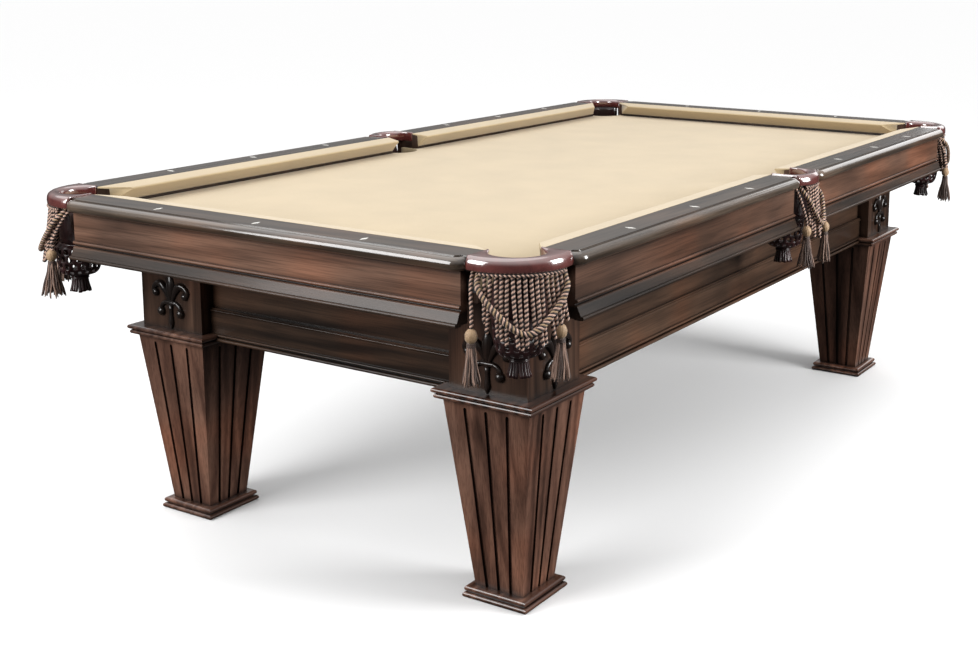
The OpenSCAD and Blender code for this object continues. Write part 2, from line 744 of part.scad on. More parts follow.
module side_bag(sy) {
  color(oxblood) at_side(sy) bag_solid(side_setback, side_setback, 58);
}

// Fringe: cords that hang from a band under the collar, behind a rope trim
module fringe(arc_x, arc, half_width) {
  ring = arc - fringe_inset;
  band_width = fringe_cord + 2;
  count = floor(half_width / fringe_pitch);
  reach = asin(half_width / ring);
  spread = asin((half_width + fringe_cord) / ring);
  translate([arc_x, 0, collar_z0]) {
    rotate([0, 0, -spread]) rotate_extrude(angle = 2 * spread) {
      translate([ring - band_width / 2, -band_height]) square([band_width, band_height]);
      translate([ring + band_width / 2, -trim_rope / 2 - 0.5]) circle(d = trim_rope, $fn = 24);
    }
    for (k = [-count:count]) {
      length = fringe_middle - (fringe_middle - fringe_end) * pow(k / count, 2);
      rotate([0, 0, k / count * reach]) translate([ring, 0, -band_height / 2])
        rotate([0, -fringe_lean, 0]) translate([0, 0, -length])
          cylinder(h = length, d = fringe_cord, $fn = 16);
    }
  }
}
module pocket_fringes() {
  color(rope_tan) {
    for (sx = [-1, 1], sy = [-1, 1])
      at_corner(sx, sy) fringe(corner_arc, corner_collar_radius, corner_fringe_half);
    for (sy = [-1, 1]) at_side(sy) fringe(side_arc, side_collar_radius, side_fringe_half);
  }
}
// Tassel: a round knob, a bound neck and a skirt of yarn under the end of its cord
module tassel(route) {
  knob = tassel_knob / 2;
  neck = knob * 0.62;
  cord_end = route[len(route) - 1];
  translate(cord_end + [0, 0, collar_z0]) {
    translate([0, 0, -2.4 * knob]) cylinder(h = 2.4 * knob, r = neck);
    translate([0, 0, -knob]) sphere(r = knob);
    translate([0, 0, -2.2 * knob - tassel_skirt])
      cylinder(h = tassel_skirt, r1 = knob * 1.15, r2 = neck + 1);
  }
}
module pocket_tassels() {
  color(rope_tan) for (side = [-1, 1]) {
    for (sx = [-1, 1], sy = [-1, 1])
      at_corner(sx, sy) mirror([0, side > 0 ? 0 : 1, 0]) tassel(corner_tassel);
    for (sy = [-1, 1]) at_side(sy) mirror([0, side > 0 ? 0 : 1, 0]) tassel(side_tassel);
  }
}
// Ropes: each is one tube swept along its route's own points
function both_halves(half) =
  concat(half, [for (i = [len(half) - 2:-1:0]) [half[i].x, -half[i].y, half[i].z]]);
function ring_frame(route, i) =
  let (last = len(route) - 1,
    ahead = route[min(i + 1, last)] - route[max(i - 1, 0)],
    side = cross(ahead, [1, 0.01, 0]),
    out = cross(side, ahead))
  [side / norm(side), out / norm(out)];
module rope_tube(route, diameter) {
  sides = 8;
  points = [for (i = [0:len(route) - 1], k = [0:sides - 1])
    let (frame = ring_frame(route, i), turn = 360 * k / sides)
    route[i] + diameter / 2 * (cos(turn) * frame[0] + sin(turn) * frame[1])];
  walls = [for (i = [0:len(route) - 2], k = [0:sides - 1])
    let (next = (k + 1) % sides, a = i * sides, b = (i + 1) * sides)
    each [[a + k, a + next, b + k], [a + next, b + next, b + k]]];
  last = (len(route) - 1) * sides;
  first_cap = [for (k = [1:sides - 2]) [0, k + 1, k]];
  last_cap = [for (k = [1:sides - 2]) [last, last + k, last + k + 1]];
  translate([0, 0, collar_z0]) polyhedron(points, concat(walls, first_cap, last_cap));
}
module pocket_ropes(swag, tassel_route) {
  rope_tube(both_halves(swag), swag_rope);
  for (side = [0, 1]) mirror([0, side, 0]) rope_tube(tassel_route, tassel_cord);
}
module pocket_swags() {
  color(rope_tan) {
    for (sx = [-1, 1], sy = [-1, 1]) at_corner(sx, sy) pocket_ropes(corner_swag, corner_tassel);
    for (sy = [-1, 1]) at_side(sy) pocket_ropes(side_swag, side_tassel);
  }
}

at_leg(-1, -1) leg_shaft();  // leg_shaft_near_right
at_leg(-1, 1) leg_shaft();  // leg_shaft_near_left
at_leg(1, -1) leg_shaft();  // leg_shaft_far_right
at_leg(1, 1) leg_shaft();  // leg_shaft_far_left
at_legs() leg_block();  // leg_blocks
at_legs() leg_collar();  // leg_collars
at_legs() foot_plinth();  // foot_plinths
at_legs() leg_ornament();  // leg_ornaments
at_leg(-1, -1) leveller();  // leveller_near_right
at_leg(-1, 1) leveller();  // leveller_near_left
at_leg(1, -1) leveller();  // leveller_far_right
at_leg(1, 1) leveller();  // leveller_far_left
end_apron(-1);  // apron_near
end_apron(1);  // apron_far
long_apron(-1);  // apron_right
long_apron(1);  // apron_left
frame_side_beams();
frame_cross_beams();
leg_bolts();
slate(-3 * slate_joint, -slate_joint);  // slate_near
slate(-slate_joint, slate_joint);  // slate_middle
slate(slate_joint, 3 * slate_joint);  // slate_far
slate_liners();
bed_cloth();
rail_bodies();
rail_bolts();
sights();
rail_cap_end(-1);  // rail_cap_near
rail_cap_end(1);  // rail_cap_far
rail_cap_long(-1, -1);  // rail_cap_right_near
rail_cap_long(1, -1);  // rail_cap_right_far
rail_cap_long(-1, 1);  // rail_cap_left_near
rail_cap_long(1, 1);  // rail_cap_left_far
rail_apron_end(-1);  // rail_apron_near
rail_apron_end(1);  // rail_apron_far
rail_apron_long(-1, -1);  // rail_apron_right_near
rail_apron_long(1, -1);  // rail_apron_right_far
rail_apron_long(-1, 1);  // rail_apron_left_near
rail_apron_long(1, 1);  // rail_apron_left_far
cushion_end(-1);  // cushion_near
cushion_end(1);  // cushion_far
cushion_long(-1, -1);  // cushion_right_near
cushion_long(1, -1);  // cushion_right_far
cushion_long(-1, 1);  // cushion_left_near
cushion_long(1, 1);  // cushion_left_far
corner_collar(-1, -1);  // collar_near_right
corner_collar(-1, 1);  // collar_near_left
corner_collar(1, -1);  // collar_far_right
corner_collar(1, 1);  // collar_far_left
side_collar(-1);  // collar_side_right
side_collar(1);  // collar_side_left
corner_bag(-1, -1);  // bag_near_right
corner_bag(-1, 1);  // bag_near_left
corner_bag(1, -1);  // bag_far_right
corner_bag(1, 1);  // bag_far_left
side_bag(-1);  // bag_side_right
side_bag(1);  // bag_side_left
pocket_fringes();
pocket_swags();
pocket_tassels();
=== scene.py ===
import math
import random

import bmesh
import bpy
import numpy as np
from mathutils import Matrix, Vector
from mathutils.geometry import tessellate_polygon


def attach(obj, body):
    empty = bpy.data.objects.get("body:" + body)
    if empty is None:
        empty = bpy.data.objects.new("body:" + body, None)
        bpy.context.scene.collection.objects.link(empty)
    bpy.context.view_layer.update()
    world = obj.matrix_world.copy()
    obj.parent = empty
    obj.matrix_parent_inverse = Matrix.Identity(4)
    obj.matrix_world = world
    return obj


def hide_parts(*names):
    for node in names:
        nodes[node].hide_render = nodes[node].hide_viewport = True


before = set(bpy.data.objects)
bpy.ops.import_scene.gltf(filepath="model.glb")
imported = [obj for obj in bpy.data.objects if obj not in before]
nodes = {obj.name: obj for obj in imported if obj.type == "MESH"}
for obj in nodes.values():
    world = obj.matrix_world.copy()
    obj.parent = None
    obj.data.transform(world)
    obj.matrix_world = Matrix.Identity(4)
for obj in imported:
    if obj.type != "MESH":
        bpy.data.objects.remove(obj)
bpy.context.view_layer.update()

dice = random.Random(7)

# Sizes in millimetres, repeated from the part's source
NOSE_X = 1118.0
NOSE_Y = 559.0
BED = 735.0
COLLAR_TOP = 783.0
COLLAR_FOOT = 756.0
FRAME_TOP = 690.0
BAG_FOOT = 587.0
SKIRT_FOOT = 551.0
LEG_X = 943.0
LEG_Y = 443.0
BLOCK_HALF = 95.0
LEG_COLLAR_TOP = 455.0
LILY_HEIGHT = 118.0
CORNER_TIP = 84.8528
SIDE_TIP = 66.0
CORNER_SLOPE = math.tan(math.radians(52))
SIDE_SLOPE = math.tan(math.radians(14))
CORNER_END = 24.0
SIDE_END = 58.0
CORNER_HOLE_X = 40.0
SIDE_HOLE_X = 60.0
DIAGONAL = math.sqrt(0.5)

# Half a swag, and a tassel's cord, in a pocket's frame: outward, sideways and up from the collar's foot
CORNER_SWAG = [(72, 76, 0), (72, 76, -6), (82, 80, -16), (96, 81, -30), (111, 68, -52),
               (124, 47, -75), (134, 24, -96), (137, 0, -105)]
SIDE_SWAG = [(118, 41, 0), (118, 41, -6), (130, 43, -18), (143, 39, -36), (152, 28, -62),
             (159, 14, -86), (161, 0, -96)]
CORNER_TASSEL = [(63, 85, 0), (63, 85, -6), (74, 88, -20), (87, 88, -42), (98, 86, -65),
                 (105, 85, -82), (107, 84, -93), (107, 84, -98)]
SIDE_TASSEL = [(110, 51, 0), (110, 51, -6), (119, 54, -20), (129, 56, -42), (137, 57, -65),
               (142, 57, -82), (143, 57, -93), (143, 57, -98)]
# How a tassel hangs: sideways from its place, lower than its place, and its skirt's radius at the foot
PLAIN_HANG = (0, 0, 19)
HANGS = {
    ("near_right", 1): (-17, 0, 18),
    ("near_right", -1): (12, 0, 15.5),
    ("near_left", -1): (-14, -4, 25),
    ("side_right", 1): (-5, 0, 22),
    ("side_right", -1): (10, 8, 17),
    ("far_right", 1): (-20, 12, 21),
}

# Ropes in metres: how thick each is, and how far a strand runs along it in one turn
SWAG_ROPE = (0.0115, 0.0155)
TASSEL_ROPE = (0.0074, 0.0084)
FRINGE_ROPE = (0.0082, 0.0086)
TRIM_ROPE = (0.0054, 0.0080)
# The share of a rope's radius that each of its strands takes, by their number
STRAND_SHARE = {2: 0.5, 4: 0.414}
# Laid strands press into each other: thicker than their share, and closer to the middle
STRAND_SWELL = 1.12
STRAND_SINK = 1.06

# A tassel, downward from the cord's end, in millimetres
KNOB_RADIUS = 11.3
KNOB_MIDDLE = 12.5
KNOB_HALF_HEIGHT = 14.5
NECK_RADIUS = 7.3
NECK_BANDS = (26.5, 29.0, 31.5)
YARN_TOP = 25.5
YARN_LENGTH = 78
# Rounds of yarn in a tassel's skirt: how many, their radius at the neck, and their share of the spread
YARN_ROUNDS = ((18, 5.8, 1.0), (14, 4.4, 0.72), (8, 2.4, 0.36))

# A fringe's cords: how far apart, how long in the middle, how much shorter at the ends, and their lean
FRINGE_SPACING = 9.4
FRINGE_LENGTH = 134
FRINGE_RISE = 40
FRINGE_LEAN = math.radians(8)

# A pocket's bag: its lining, the bowl under it with a net of slots, and the strips of its skirt
LINING_RADIUS = 55.2
BOWL_TOP = 668
NET_COLUMNS = 64
LEATHER_THICKNESS = 0.0028
STRIPS = 16
# The bed cloth: radius of its holes, how far past the nose lines it lies and where it meets a corner's
# hole, and how far down its edge is folded
CLOTH_HOLE = 58.6
CLOTH_EDGE = 86.0
CLOTH_TURN = 18.0
FOLD_DEPTH = 23.0
# How far behind the nose a cushion may reach
CUSHION_DEPTH = 47.95

# A lily's relief: its share of the depth as drawn, the most of it, and its foot above the block's foot
RELIEF_SHARE = 0.84
RELIEF_LIMIT = 11.0
LILY_RISE = 0.16 * LILY_HEIGHT


class Pocket:
    """One pocket's sizes, and its own frame: x outward through its middle, y sideways.

    The frame starts where the two nose lines cross, or in the middle of the long nose line.
    """

    def __init__(self, name, sx, sy):
        self.name = name
        self.sx = sx
        self.sy = sy
        self.corner = sx != 0
        # The collar: middle and radius of its hole and of its outside, and how far round it reaches
        self.hole_x = CORNER_HOLE_X if self.corner else SIDE_HOLE_X
        self.hole = 52.0 if self.corner else 54.0
        self.arc_x = -2.0 if self.corner else 53.0
        self.arc = 120.0 if self.corner else 90.0
        self.reach = 112.7 if self.corner else 102.8
        # The bag's middle, how far round its lining is high, and half the fringe's width
        self.bowl_x = 58.0 if self.corner else 60.0
        self.shield = 70.0 if self.corner else 58.0
        self.fringe_half = 68.0 if self.corner else 30.0
        self.swag = CORNER_SWAG if self.corner else SIDE_SWAG
        self.tassel = CORNER_TASSEL if self.corner else SIDE_TASSEL

    def place(self, points):
        """Points of the pocket's frame, in millimetres, as points of the row frame, in metres."""
        p = np.array(points, float).reshape(-1, 3)
        x, y, z = p[:, 0], p[:, 1], p[:, 2]
        if self.corner:
            u = self.sx * (NOSE_X + (x - y) * DIAGONAL)
            v = self.sy * (NOSE_Y + (x + y) * DIAGONAL)
        else:
            u = -y
            v = self.sy * (NOSE_Y + x)
        return np.stack([u, v, z], 1) * 0.001


POCKETS = [Pocket("near_right", -1, -1), Pocket("near_left", -1, 1), Pocket("far_right", 1, -1),
           Pocket("far_left", 1, 1), Pocket("side_right", 0, -1), Pocket("side_left", 0, 1)]


# Mesh making
class Shape:
    """Collects grids of points and turns them into one mesh object."""

    def __init__(self):
        self.points = []
        self.faces = []
        self.uvs = []
        self.slots = []
        self.count = 0

    def grid(self, rows, slot=0, around=True, caps=False):
        """Adds rows of points, joined by quads. rows is an array of n by k by 3, in metres."""
        rows = np.asarray(rows, float)
        n, k = rows.shape[:2]
        base = self.count
        self.points.append(rows.reshape(-1, 3))
        self.count += n * k
        along = distances(rows.mean(axis=1))
        last = k if around else k - 1
        for i in range(n - 1):
            for j in range(last):
                a = base + i * k + j
                b = base + i * k + (j + 1) % k
                self.faces.append((a, b, b + k, a + k))
                self.slots.append(slot)
                self.uvs += [(j / k, along[i]), ((j + 1) / k, along[i]),
                             ((j + 1) / k, along[i + 1]), (j / k, along[i + 1])]
        if caps:
            for row, order in ((0, -1), (n - 1, 1)):
                ring = [base + row * k + j for j in range(k)][::order]
                self.faces.append(tuple(ring))
                self.slots.append(slot)
                self.uvs += [(0.5, along[row])] * k

    def make(self, name, materials):
        """The collected grids as one smooth object, with all faces turned outward."""
        mesh = bpy.data.meshes.new(name)
        mesh.from_pydata(np.concatenate(self.points).tolist(), [], self.faces)
        layer = mesh.uv_layers.new(name="UVMap")
        layer.data.foreach_set("uv", np.array(self.uvs, np.float32).ravel())
        mesh.polygons.foreach_set("material_index", self.slots)
        mesh.polygons.foreach_set("use_smooth", [True] * len(self.faces))
        for material in materials:
            mesh.materials.append(material)
        work = bmesh.new()
        work.from_mesh(mesh)
        bmesh.ops.recalc_face_normals(work, faces=work.faces)
        work.to_mesh(mesh)
        work.free()
        mesh.update()
        return linked(name, mesh)


def linked(name, data):
    """A new object of the data, in the scene."""
    made = bpy.data.objects.new(name, data)
    bpy.context.scene.collection.objects.link(made)
    return made


def unit(v):
    """The vectors scaled to length 1."""
    return v / np.maximum(np.linalg.norm(v, axis=-1, keepdims=True), 1e-12)


def distances(line):
    """How far along a line each of its points lies."""
    return np.concatenate([[0], np.cumsum(np.linalg.norm(np.diff(line, axis=0), axis=1))])


def circle(x, y, radius, z, count, closed=False):
    """Points of a level circle round x, y. A closed one ends on its first point."""
    return [(x + radius * math.cos(a), y + radius * math.sin(a), z)
            for a in np.linspace(0, 2 * math.pi, count, endpoint=closed)]


def along_line(line, step):
    """The line again with points about step apart."""
    line = np.asarray(line, float)
    far = distances(line)
    at = np.linspace(0, far[-1], max(2, int(round(far[-1] / step)) + 1))
    return np.stack([np.interp(at, far, line[:, i]) for i in range(3)], 1)


def smooth_line(route, step):
    """A smooth curve through the route's points."""
    p = np.asarray(route, float)
    p = np.concatenate([[2 * p[0] - p[1]], p, [2 * p[-1] - p[-2]]])
    fine = []
    for a, b, c, d in zip(p[:-3], p[1:-2], p[2:-1], p[3:]):
        for t in np.linspace(0, 1, 12, endpoint=False):
            fine.append(0.5 * (2 * b + (c - a) * t + (2 * a - 5 * b + 4 * c - d) * t ** 2
                               + (3 * b - a - 3 * c + d) * t ** 3))
    fine.append(p[-2])
    return along_line(fine, step)


def frames(line):
    """Two directions across a line at each of its points, carried along it without twist."""
    ahead = unit(np.gradient(line, axis=0))
    start = np.array([0.0, 0.0, 1.0]) if abs(ahead[0][2]) < 0.8 else np.array([1.0, 0.0, 0.0])
    side = [unit(start - (start @ ahead[0]) * ahead[0])]
    for t in ahead[1:]:
        side.append(unit(side[-1] - (side[-1] @ t) * t))
    side = np.array(side)
    return side, np.cross(ahead, side)


def tube(shape, line, radius, sides=8, slot=0, caps=True):
    """A tube round a line. radius is one number or one for each point."""
    line = np.asarray(line, float)
    side, up = frames(line)
    r = np.broadcast_to(np.asarray(radius, float), (len(line),))
    turn = np.linspace(0, 2 * math.pi, sides, endpoint=False)
    rows = (line[:, None] + r[:, None, None] * (np.cos(turn)[None, :, None] * side[:, None]
            + np.sin(turn)[None, :, None] * up[:, None]))
    shape.grid(rows, slot, True, caps)


def rope(shape, line, kind, slots, step, phase=0.0, taper=False):
    """Strands laid round a line, each a tube of the slot given for it.

    kind is the rope's diameter and how far a strand runs along it in one turn.
    """
    diameter, pitch = kind
    strands = len(slots)
    line = along_line(line, step)
    side, up = frames(line)
    far = distances(line)
    share = STRAND_SHARE[strands]
    off = np.full(len(line), diameter / 2 * (1 - share * STRAND_SINK))
    size = np.full(len(line), diameter / 2 * share * STRAND_SWELL)
    if taper:
        size[-1] *= 0.35
        size[-2] *= 0.75
        off[-3:] *= np.array([0.85, 0.6, 0.3])
    for i in range(strands):
        angle = 2 * math.pi * (far / pitch + i / strands) + phase
        core = line + off[:, None] * (np.cos(angle)[:, None] * side + np.sin(angle)[:, None] * up)
        tube(shape, core, size, 6, slots[i])


# Materials
def new_material(name):
    """A new material, its node tree and its main shader."""
    material = bpy.data.materials.new(name)
    material.use_nodes = True
    tree = material.node_tree
    shader = tree.nodes["Principled BSDF"]
    return material, tree, shader


def add(tree, kind, **values):
    """A new node with the given inputs or settings."""
    node = tree.nodes.new(kind)
    for key, value in values.items():
        if key in node.inputs.keys():
            node.inputs[key].default_value = value
        else:
            setattr(node, key, value)
    return node


def ramp(tree, source, stops):
    """Colours by value: stops gives them as pairs of place and colour."""
    node = tree.nodes.new("ShaderNodeValToRGB")
    elements = node.color_ramp.elements
    while len(elements) < len(stops):
        elements.new(0.5)
    for element, (at, colour) in zip(elements, stops):
        element.position = at
        element.color = (*colour, 1) if len(colour) == 3 else colour
    tree.links.new(source, node.inputs["Fac"])
    return node.outputs["Color"]


def grey(v):
    return (v, v, v)


def mixed(tree, kind, factor, a, b):
    """Two colours blended. Each of factor, a and b is a socket or a value."""
    node = tree.nodes.new("ShaderNodeMix")
    node.data_type = "RGBA"
    node.blend_type = kind
    for value, socket in ((factor, node.inputs["Factor"]), (a, node.inputs["A"]), (b, node.inputs["B"])):
        if isinstance(value, bpy.types.NodeSocket):
            tree.links.new(value, socket)
        elif isinstance(value, tuple):
            socket.default_value = (*value, 1)
        else:
            socket.default_value = value
    return node.outputs["Result"]


def mapped(tree, scale=(1, 1, 1), turn=(0, 0, 0), source="Object"):
    """Texture coordinates, scaled and turned."""
    coords = tree.nodes.new("ShaderNodeTexCoord")
    mapping = add(tree, "ShaderNodeMapping", Scale=scale, Rotation=turn)
    tree.links.new(coords.outputs[source], mapping.inputs["Vector"])
    return mapping.outputs["Vector"]


def noise(tree, vector, scale, detail=4.0, rough=0.5, distort=0.0):
    node = add(tree, "ShaderNodeTexNoise", Scale=scale, Detail=detail, Roughness=rough,
               Distortion=distort)
    tree.links.new(vector, node.inputs["Vector"])
    return node.outputs["Fac"]


def bump(tree, shader, height, strength, distance, before=None):
    """Lets height roughen the shader's surface, on top of the bump before it."""
    node = add(tree, "ShaderNodeBump", Strength=strength, Distance=distance)
    tree.links.new(height, node.inputs["Height"])
    if before is not None:
        tree.links.new(before, node.inputs["Normal"])
    tree.links.new(node.outputs["Normal"], shader.inputs["Normal"])
    return node.outputs["Normal"]


def wood(name, stain, grain, rough=0.35, gloss=0.15, figure=9.0, glaze_and_shade=0.5, hem=None, coat_ior=1.5):
    """Stained wood with long figure and fine pores along grain, which is 0, 1 or 2 for X, Y or Z.

    stain is its dark, middle and light colour. glaze_and_shade is how dark the hollows are painted:
    painted shade where nearby surfaces occlude, standing also for a dark glaze. Below the height hem, in
    metres, the colour is painted darker and bluish grey: a painted reflection.
    """
    dark, middle, light = stain
    material, tree, shader = new_material(name)
    stretch = [1.0, 1.0, 1.0]
    stretch[grain] = 0.07
    turn = [0.05, 0.04, 0.06]
    turn[grain] = 0.5
    vector = mapped(tree, stretch, turn)
    broad = noise(tree, vector, figure, 5.0, 0.55, 1.2)
    rings = add(tree, "ShaderNodeTexWave", Scale=figure * 1.6, Distortion=9.0, Detail=3.0)
    rings.inputs["Detail Scale"].default_value = 1.2
    rings.bands_direction = "DIAGONAL"
    tree.links.new(vector, rings.inputs["Vector"])
    stretch[grain] = 0.02
    pores = noise(tree, mapped(tree, stretch), 420.0, 3.0, 0.6)
    patch = noise(tree, mapped(tree), 4.0, 2.0)
    bands = ramp(tree, broad, [(0.28, grey(0)), (0.72, grey(1))])
    lines = mixed(tree, "MIX", 0.3, bands, rings.outputs["Color"])
    colour = ramp(tree, lines, [(0.08, dark), (0.5, middle), (0.95, light)])
    tint = ramp(tree, patch, [(0.32, (0.70, 0.74, 0.78)), (0.5, grey(1.0)), (0.68, (1.35, 1.12, 1.0))])
    colour = mixed(tree, "MULTIPLY", 1.0, colour, tint)
    streak = ramp(tree, pores, [(0.36, grey(0.55)), (0.56, grey(1.0))])
    colour = mixed(tree, "MULTIPLY", 0.8, colour, streak)
    # Painted reflection: below the height hem the colour is made darker and bluish grey, standing for
    # the grey reflection on the moulding's flare
    if hem:
        height = tree.nodes.new("ShaderNodeSeparateXYZ")
        tree.links.new(mapped(tree), height.inputs["Vector"])
        painted_reflection = ramp(tree, height.outputs["Z"], [(hem - 0.001, (0.34, 0.41, 0.44)), (hem, grey(1.0))])
        colour = mixed(tree, "MULTIPLY", 1.0, colour, painted_reflection)
    # Painted shade: the colour is darkened where nearby surfaces are close, in hollows, flutes and under
    # the caps, standing also for a dark glaze there
    hollow = add(tree, "ShaderNodeAmbientOcclusion", Distance=0.02)
    hollow.samples = 6
    shade = ramp(tree, hollow.outputs["AO"], [(0.45, grey(1.0 - glaze_and_shade)), (0.88, grey(1.0))])
    colour = mixed(tree, "MULTIPLY", 1.0, colour, shade)
    tree.links.new(colour, shader.inputs["Base Color"])
    shader.inputs["Roughness"].default_value = rough
    shader.inputs["Specular IOR Level"].default_value = 0.22
    shader.inputs["Coat Weight"].default_value = gloss
    shader.inputs["Coat IOR"].default_value = coat_ior
    shader.inputs["Coat Roughness"].default_value = 0.1
    bump(tree, shader, pores, 0.25, 0.0004)
    return material


def cloth(name, base, shade):
    """Napped wool cloth: a fine twill under a short nap."""
    material, tree, shader = new_material(name)
    vector = mapped(tree)
    nap = noise(tree, vector, 900.0, 2.0, 0.6)
    cloud = noise(tree, vector, 7.0, 3.0)
    twill = add(tree, "ShaderNodeTexWave", Scale=260.0, Distortion=1.5, Detail=2.0)
    twill.bands_direction = "DIAGONAL"
    tree.links.new(vector, twill.inputs["Vector"])
    colour = mixed(tree, "MIX", ramp(tree, nap, [(0.3, grey(0)), (0.75, grey(1))]), shade, base)
    patches = ramp(tree, cloud, [(0.3, grey(0.94)), (0.7, grey(1.03))])
    colour = mixed(tree, "MULTIPLY", 1.0, colour, patches)
    tree.links.new(colour, shader.inputs["Base Color"])
    shader.inputs["Roughness"].default_value = 0.95
    shader.inputs["Sheen Weight"].default_value = 0.25
    shader.inputs["Sheen Roughness"].default_value = 0.5
    shader.inputs["Specular IOR Level"].default_value = 0.15
    first = bump(tree, shader, twill.outputs["Fac"], 0.12, 0.0003)
    bump(tree, shader, nap, 0.2, 0.0004, first)
    return material


def leather(name, dark, light, rough, coat, coat_ior=1.5):
    """Dyed leather with fine grain and a clear finish."""
    material, tree, shader = new_material(name)
    vector = mapped(tree)
    cells = add(tree, "ShaderNodeTexVoronoi", Scale=420.0)
    tree.links.new(vector, cells.inputs["Vector"])
    cloud = noise(tree, vector, 26.0, 4.0, 0.6, 0.6)
    colour = ramp(tree, cloud, [(0.3, dark), (0.72, light)])
    tree.links.new(colour, shader.inputs["Base Color"])
    wear = ramp(tree, cloud, [(0.3, grey(rough * 0.8)), (0.7, grey(rough * 1.3))])
    tree.links.new(wear, shader.inputs["Roughness"])
    shader.inputs["Coat Weight"].default_value = coat
    shader.inputs["Coat Roughness"].default_value = 0.12
    shader.inputs["Coat IOR"].default_value = coat_ior
    bump(tree, shader, cells.outputs["Distance"], 0.18, 0.0003)
    return material


def yarn(name, dark, light, sheen=0.3):
    """Spun yarn: fine fibres that run along the strand and turn round it a little."""
    material, tree, shader = new_material(name)
    fibres = noise(tree, mapped(tree, (6.0, 60.0, 1.0), (0, 0, 0.35), source="UV"), 9.0, 3.0, 0.65)
    cloud = noise(tree, mapped(tree), 45.0, 2.0)
    colour = ramp(tree, fibres, [(0.32, dark), (0.66, light)])
    patches = ramp(tree, cloud, [(0.3, grey(0.78)), (0.7, grey(1.12))])
    colour = mixed(tree, "MULTIPLY", 1.0, colour, patches)
    tree.links.new(colour, shader.inputs["Base Color"])
    shader.inputs["Roughness"].default_value = 0.62
    shader.inputs["Sheen Weight"].default_value = sheen
    shader.inputs["Sheen Roughness"].default_value = 0.4
    bump(tree, shader, fibres, 0.35, 0.0005)
    return material


def pearl(name):
    """Mother-of-pearl in thin wavy layers."""
    material, tree, shader = new_material(name)
    vector = mapped(tree)
    layers = noise(tree, vector, 140.0, 3.0, 0.5, 2.5)
    colour = ramp(tree, layers, [(0.3, (0.92, 0.88, 0.80)), (0.5, (0.97, 0.95, 0.9)),
                                 (0.7, (0.93, 0.94, 0.92))])
    tree.links.new(colour, shader.inputs["Base Color"])
    shader.inputs["Roughness"].default_value = 0.2
    shader.inputs["Coat Weight"].default_value = 0.6
    return material


def metal(name, colour, rough):
    """Brushed metal."""
    material, tree, shader = new_material(name)
    brush = noise(tree, mapped(tree, (1, 1, 12)), 260.0, 3.0)
    shade = ramp(tree, brush, [(0.3, tuple(0.8 * c for c in colour)), (0.7, colour)])
    tree.links.new(shade, shader.inputs["Base Color"])
    shader.inputs["Metallic"].default_value = 1.0
    shader.inputs["Roughness"].default_value = rough
    bump(tree, shader, brush, 0.15, 0.0002)
    return material


def stone(name, dark, light):
    """Slate with flat veins."""
    material, tree, shader = new_material(name)
    vector = mapped(tree, (1, 1, 6))
    veins = noise(tree, vector, 12.0, 6.0, 0.65, 1.5)
    tree.links.new(ramp(tree, veins, [(0.3, dark), (0.7, light)]), shader.inputs["Base Color"])
    shader.inputs["Roughness"].default_value = 0.7
    bump(tree, shader, veins, 0.3, 0.001)
    return material


# Stains of the wood: dark, middle and light
BROWN = ((0.020, 0.009, 0.006), (0.116, 0.056, 0.038), (0.250, 0.130, 0.088))
DUSKY = ((0.012, 0.006, 0.004), (0.054, 0.029, 0.019), (0.108, 0.060, 0.040))
GREYED = ((0.024, 0.014, 0.008), (0.074, 0.050, 0.034), (0.122, 0.088, 0.062))
RED = ((0.034, 0.018, 0.011), (0.128, 0.066, 0.043), (0.225, 0.124, 0.083))
# The cabinet aprons' olive-brown stain, made darker as painted shade under the overhanging rails
OLIVE_AND_SHADE = ((0.015, 0.008, 0.005), (0.062, 0.034, 0.021), (0.110, 0.062, 0.039))
PALE = ((0.30, 0.21, 0.12), (0.45, 0.33, 0.20), (0.56, 0.43, 0.28))
EBONY = ((0.008, 0.005, 0.004), (0.017, 0.011, 0.009), (0.03, 0.02, 0.016))
# The moulding under the rails is painted darker and bluish grey below this height: a painted reflection
HEM = 0.676
leg_wood = wood("leg_wood", BROWN, 2, glaze_and_shade=0.88)
# The dark block wood is also put on the rail bodies and slate liners: painted shade in the gaps beside
# the pockets
block_wood_and_gap_shade = wood("block_wood_and_gap_shade", DUSKY, 2, glaze_and_shade=0.8)
plate_wood = wood("plate_wood", BROWN, 0, 0.3, 0.8, glaze_and_shade=0.7)
cap_wood = [wood(f"cap_wood_{axis}", GREYED, i, 0.3, 1.0, 12.0, 0.8, coat_ior=1.65)
            for i, axis in enumerate("xy")]
rail_wood = [wood(f"rail_wood_{axis}", RED, i, 0.36, 0.12, 6.0, 0.9, HEM) for i, axis in enumerate("xy")]
apron_wood = [wood(f"apron_wood_{axis}", OLIVE_AND_SHADE, i, 0.36, 0.2, 6.0, 0.8) for i, axis in enumerate("xy")]
carved_wood = wood("carved_wood", EBONY, 2, 0.3, 0.5)
frame_wood = [wood(f"frame_wood_{axis}", PALE, i, 0.6, 0.0) for i, axis in enumerate("xy")]
slate_stone = stone("slate_stone", (0.030, 0.033, 0.038), (0.070, 0.075, 0.082))
bed_wool = cloth("bed_wool", (0.49, 0.39, 0.242), (0.42, 0.325, 0.195))
collar_leather = leather("collar_leather", (0.075, 0.015, 0.013), (0.160, 0.042, 0.036), 0.2, 1.0, 2.4)
bag_leather = leather("bag_leather", (0.008, 0.002, 0.002), (0.040, 0.008, 0.008), 0.38, 0.5)
yarn_light = yarn("yarn_light", (0.30, 0.17, 0.12), (0.74, 0.50, 0.39))
yarn_dark = yarn("yarn_dark", (0.006, 0.002, 0.002), (0.022, 0.009, 0.007), 0.1)
yarn_gold = yarn("yarn_gold", (0.22, 0.12, 0.06), (0.52, 0.36, 0.21))
yarn_tan = yarn("yarn_tan", (0.12, 0.065, 0.045), (0.38, 0.24, 0.18))
yarn_brown = yarn("yarn_brown", (0.025, 0.013, 0.010), (0.10, 0.058, 0.042))
pearl_shell = pearl("pearl_shell")
steel = metal("steel", (0.55, 0.55, 0.57), 0.35)

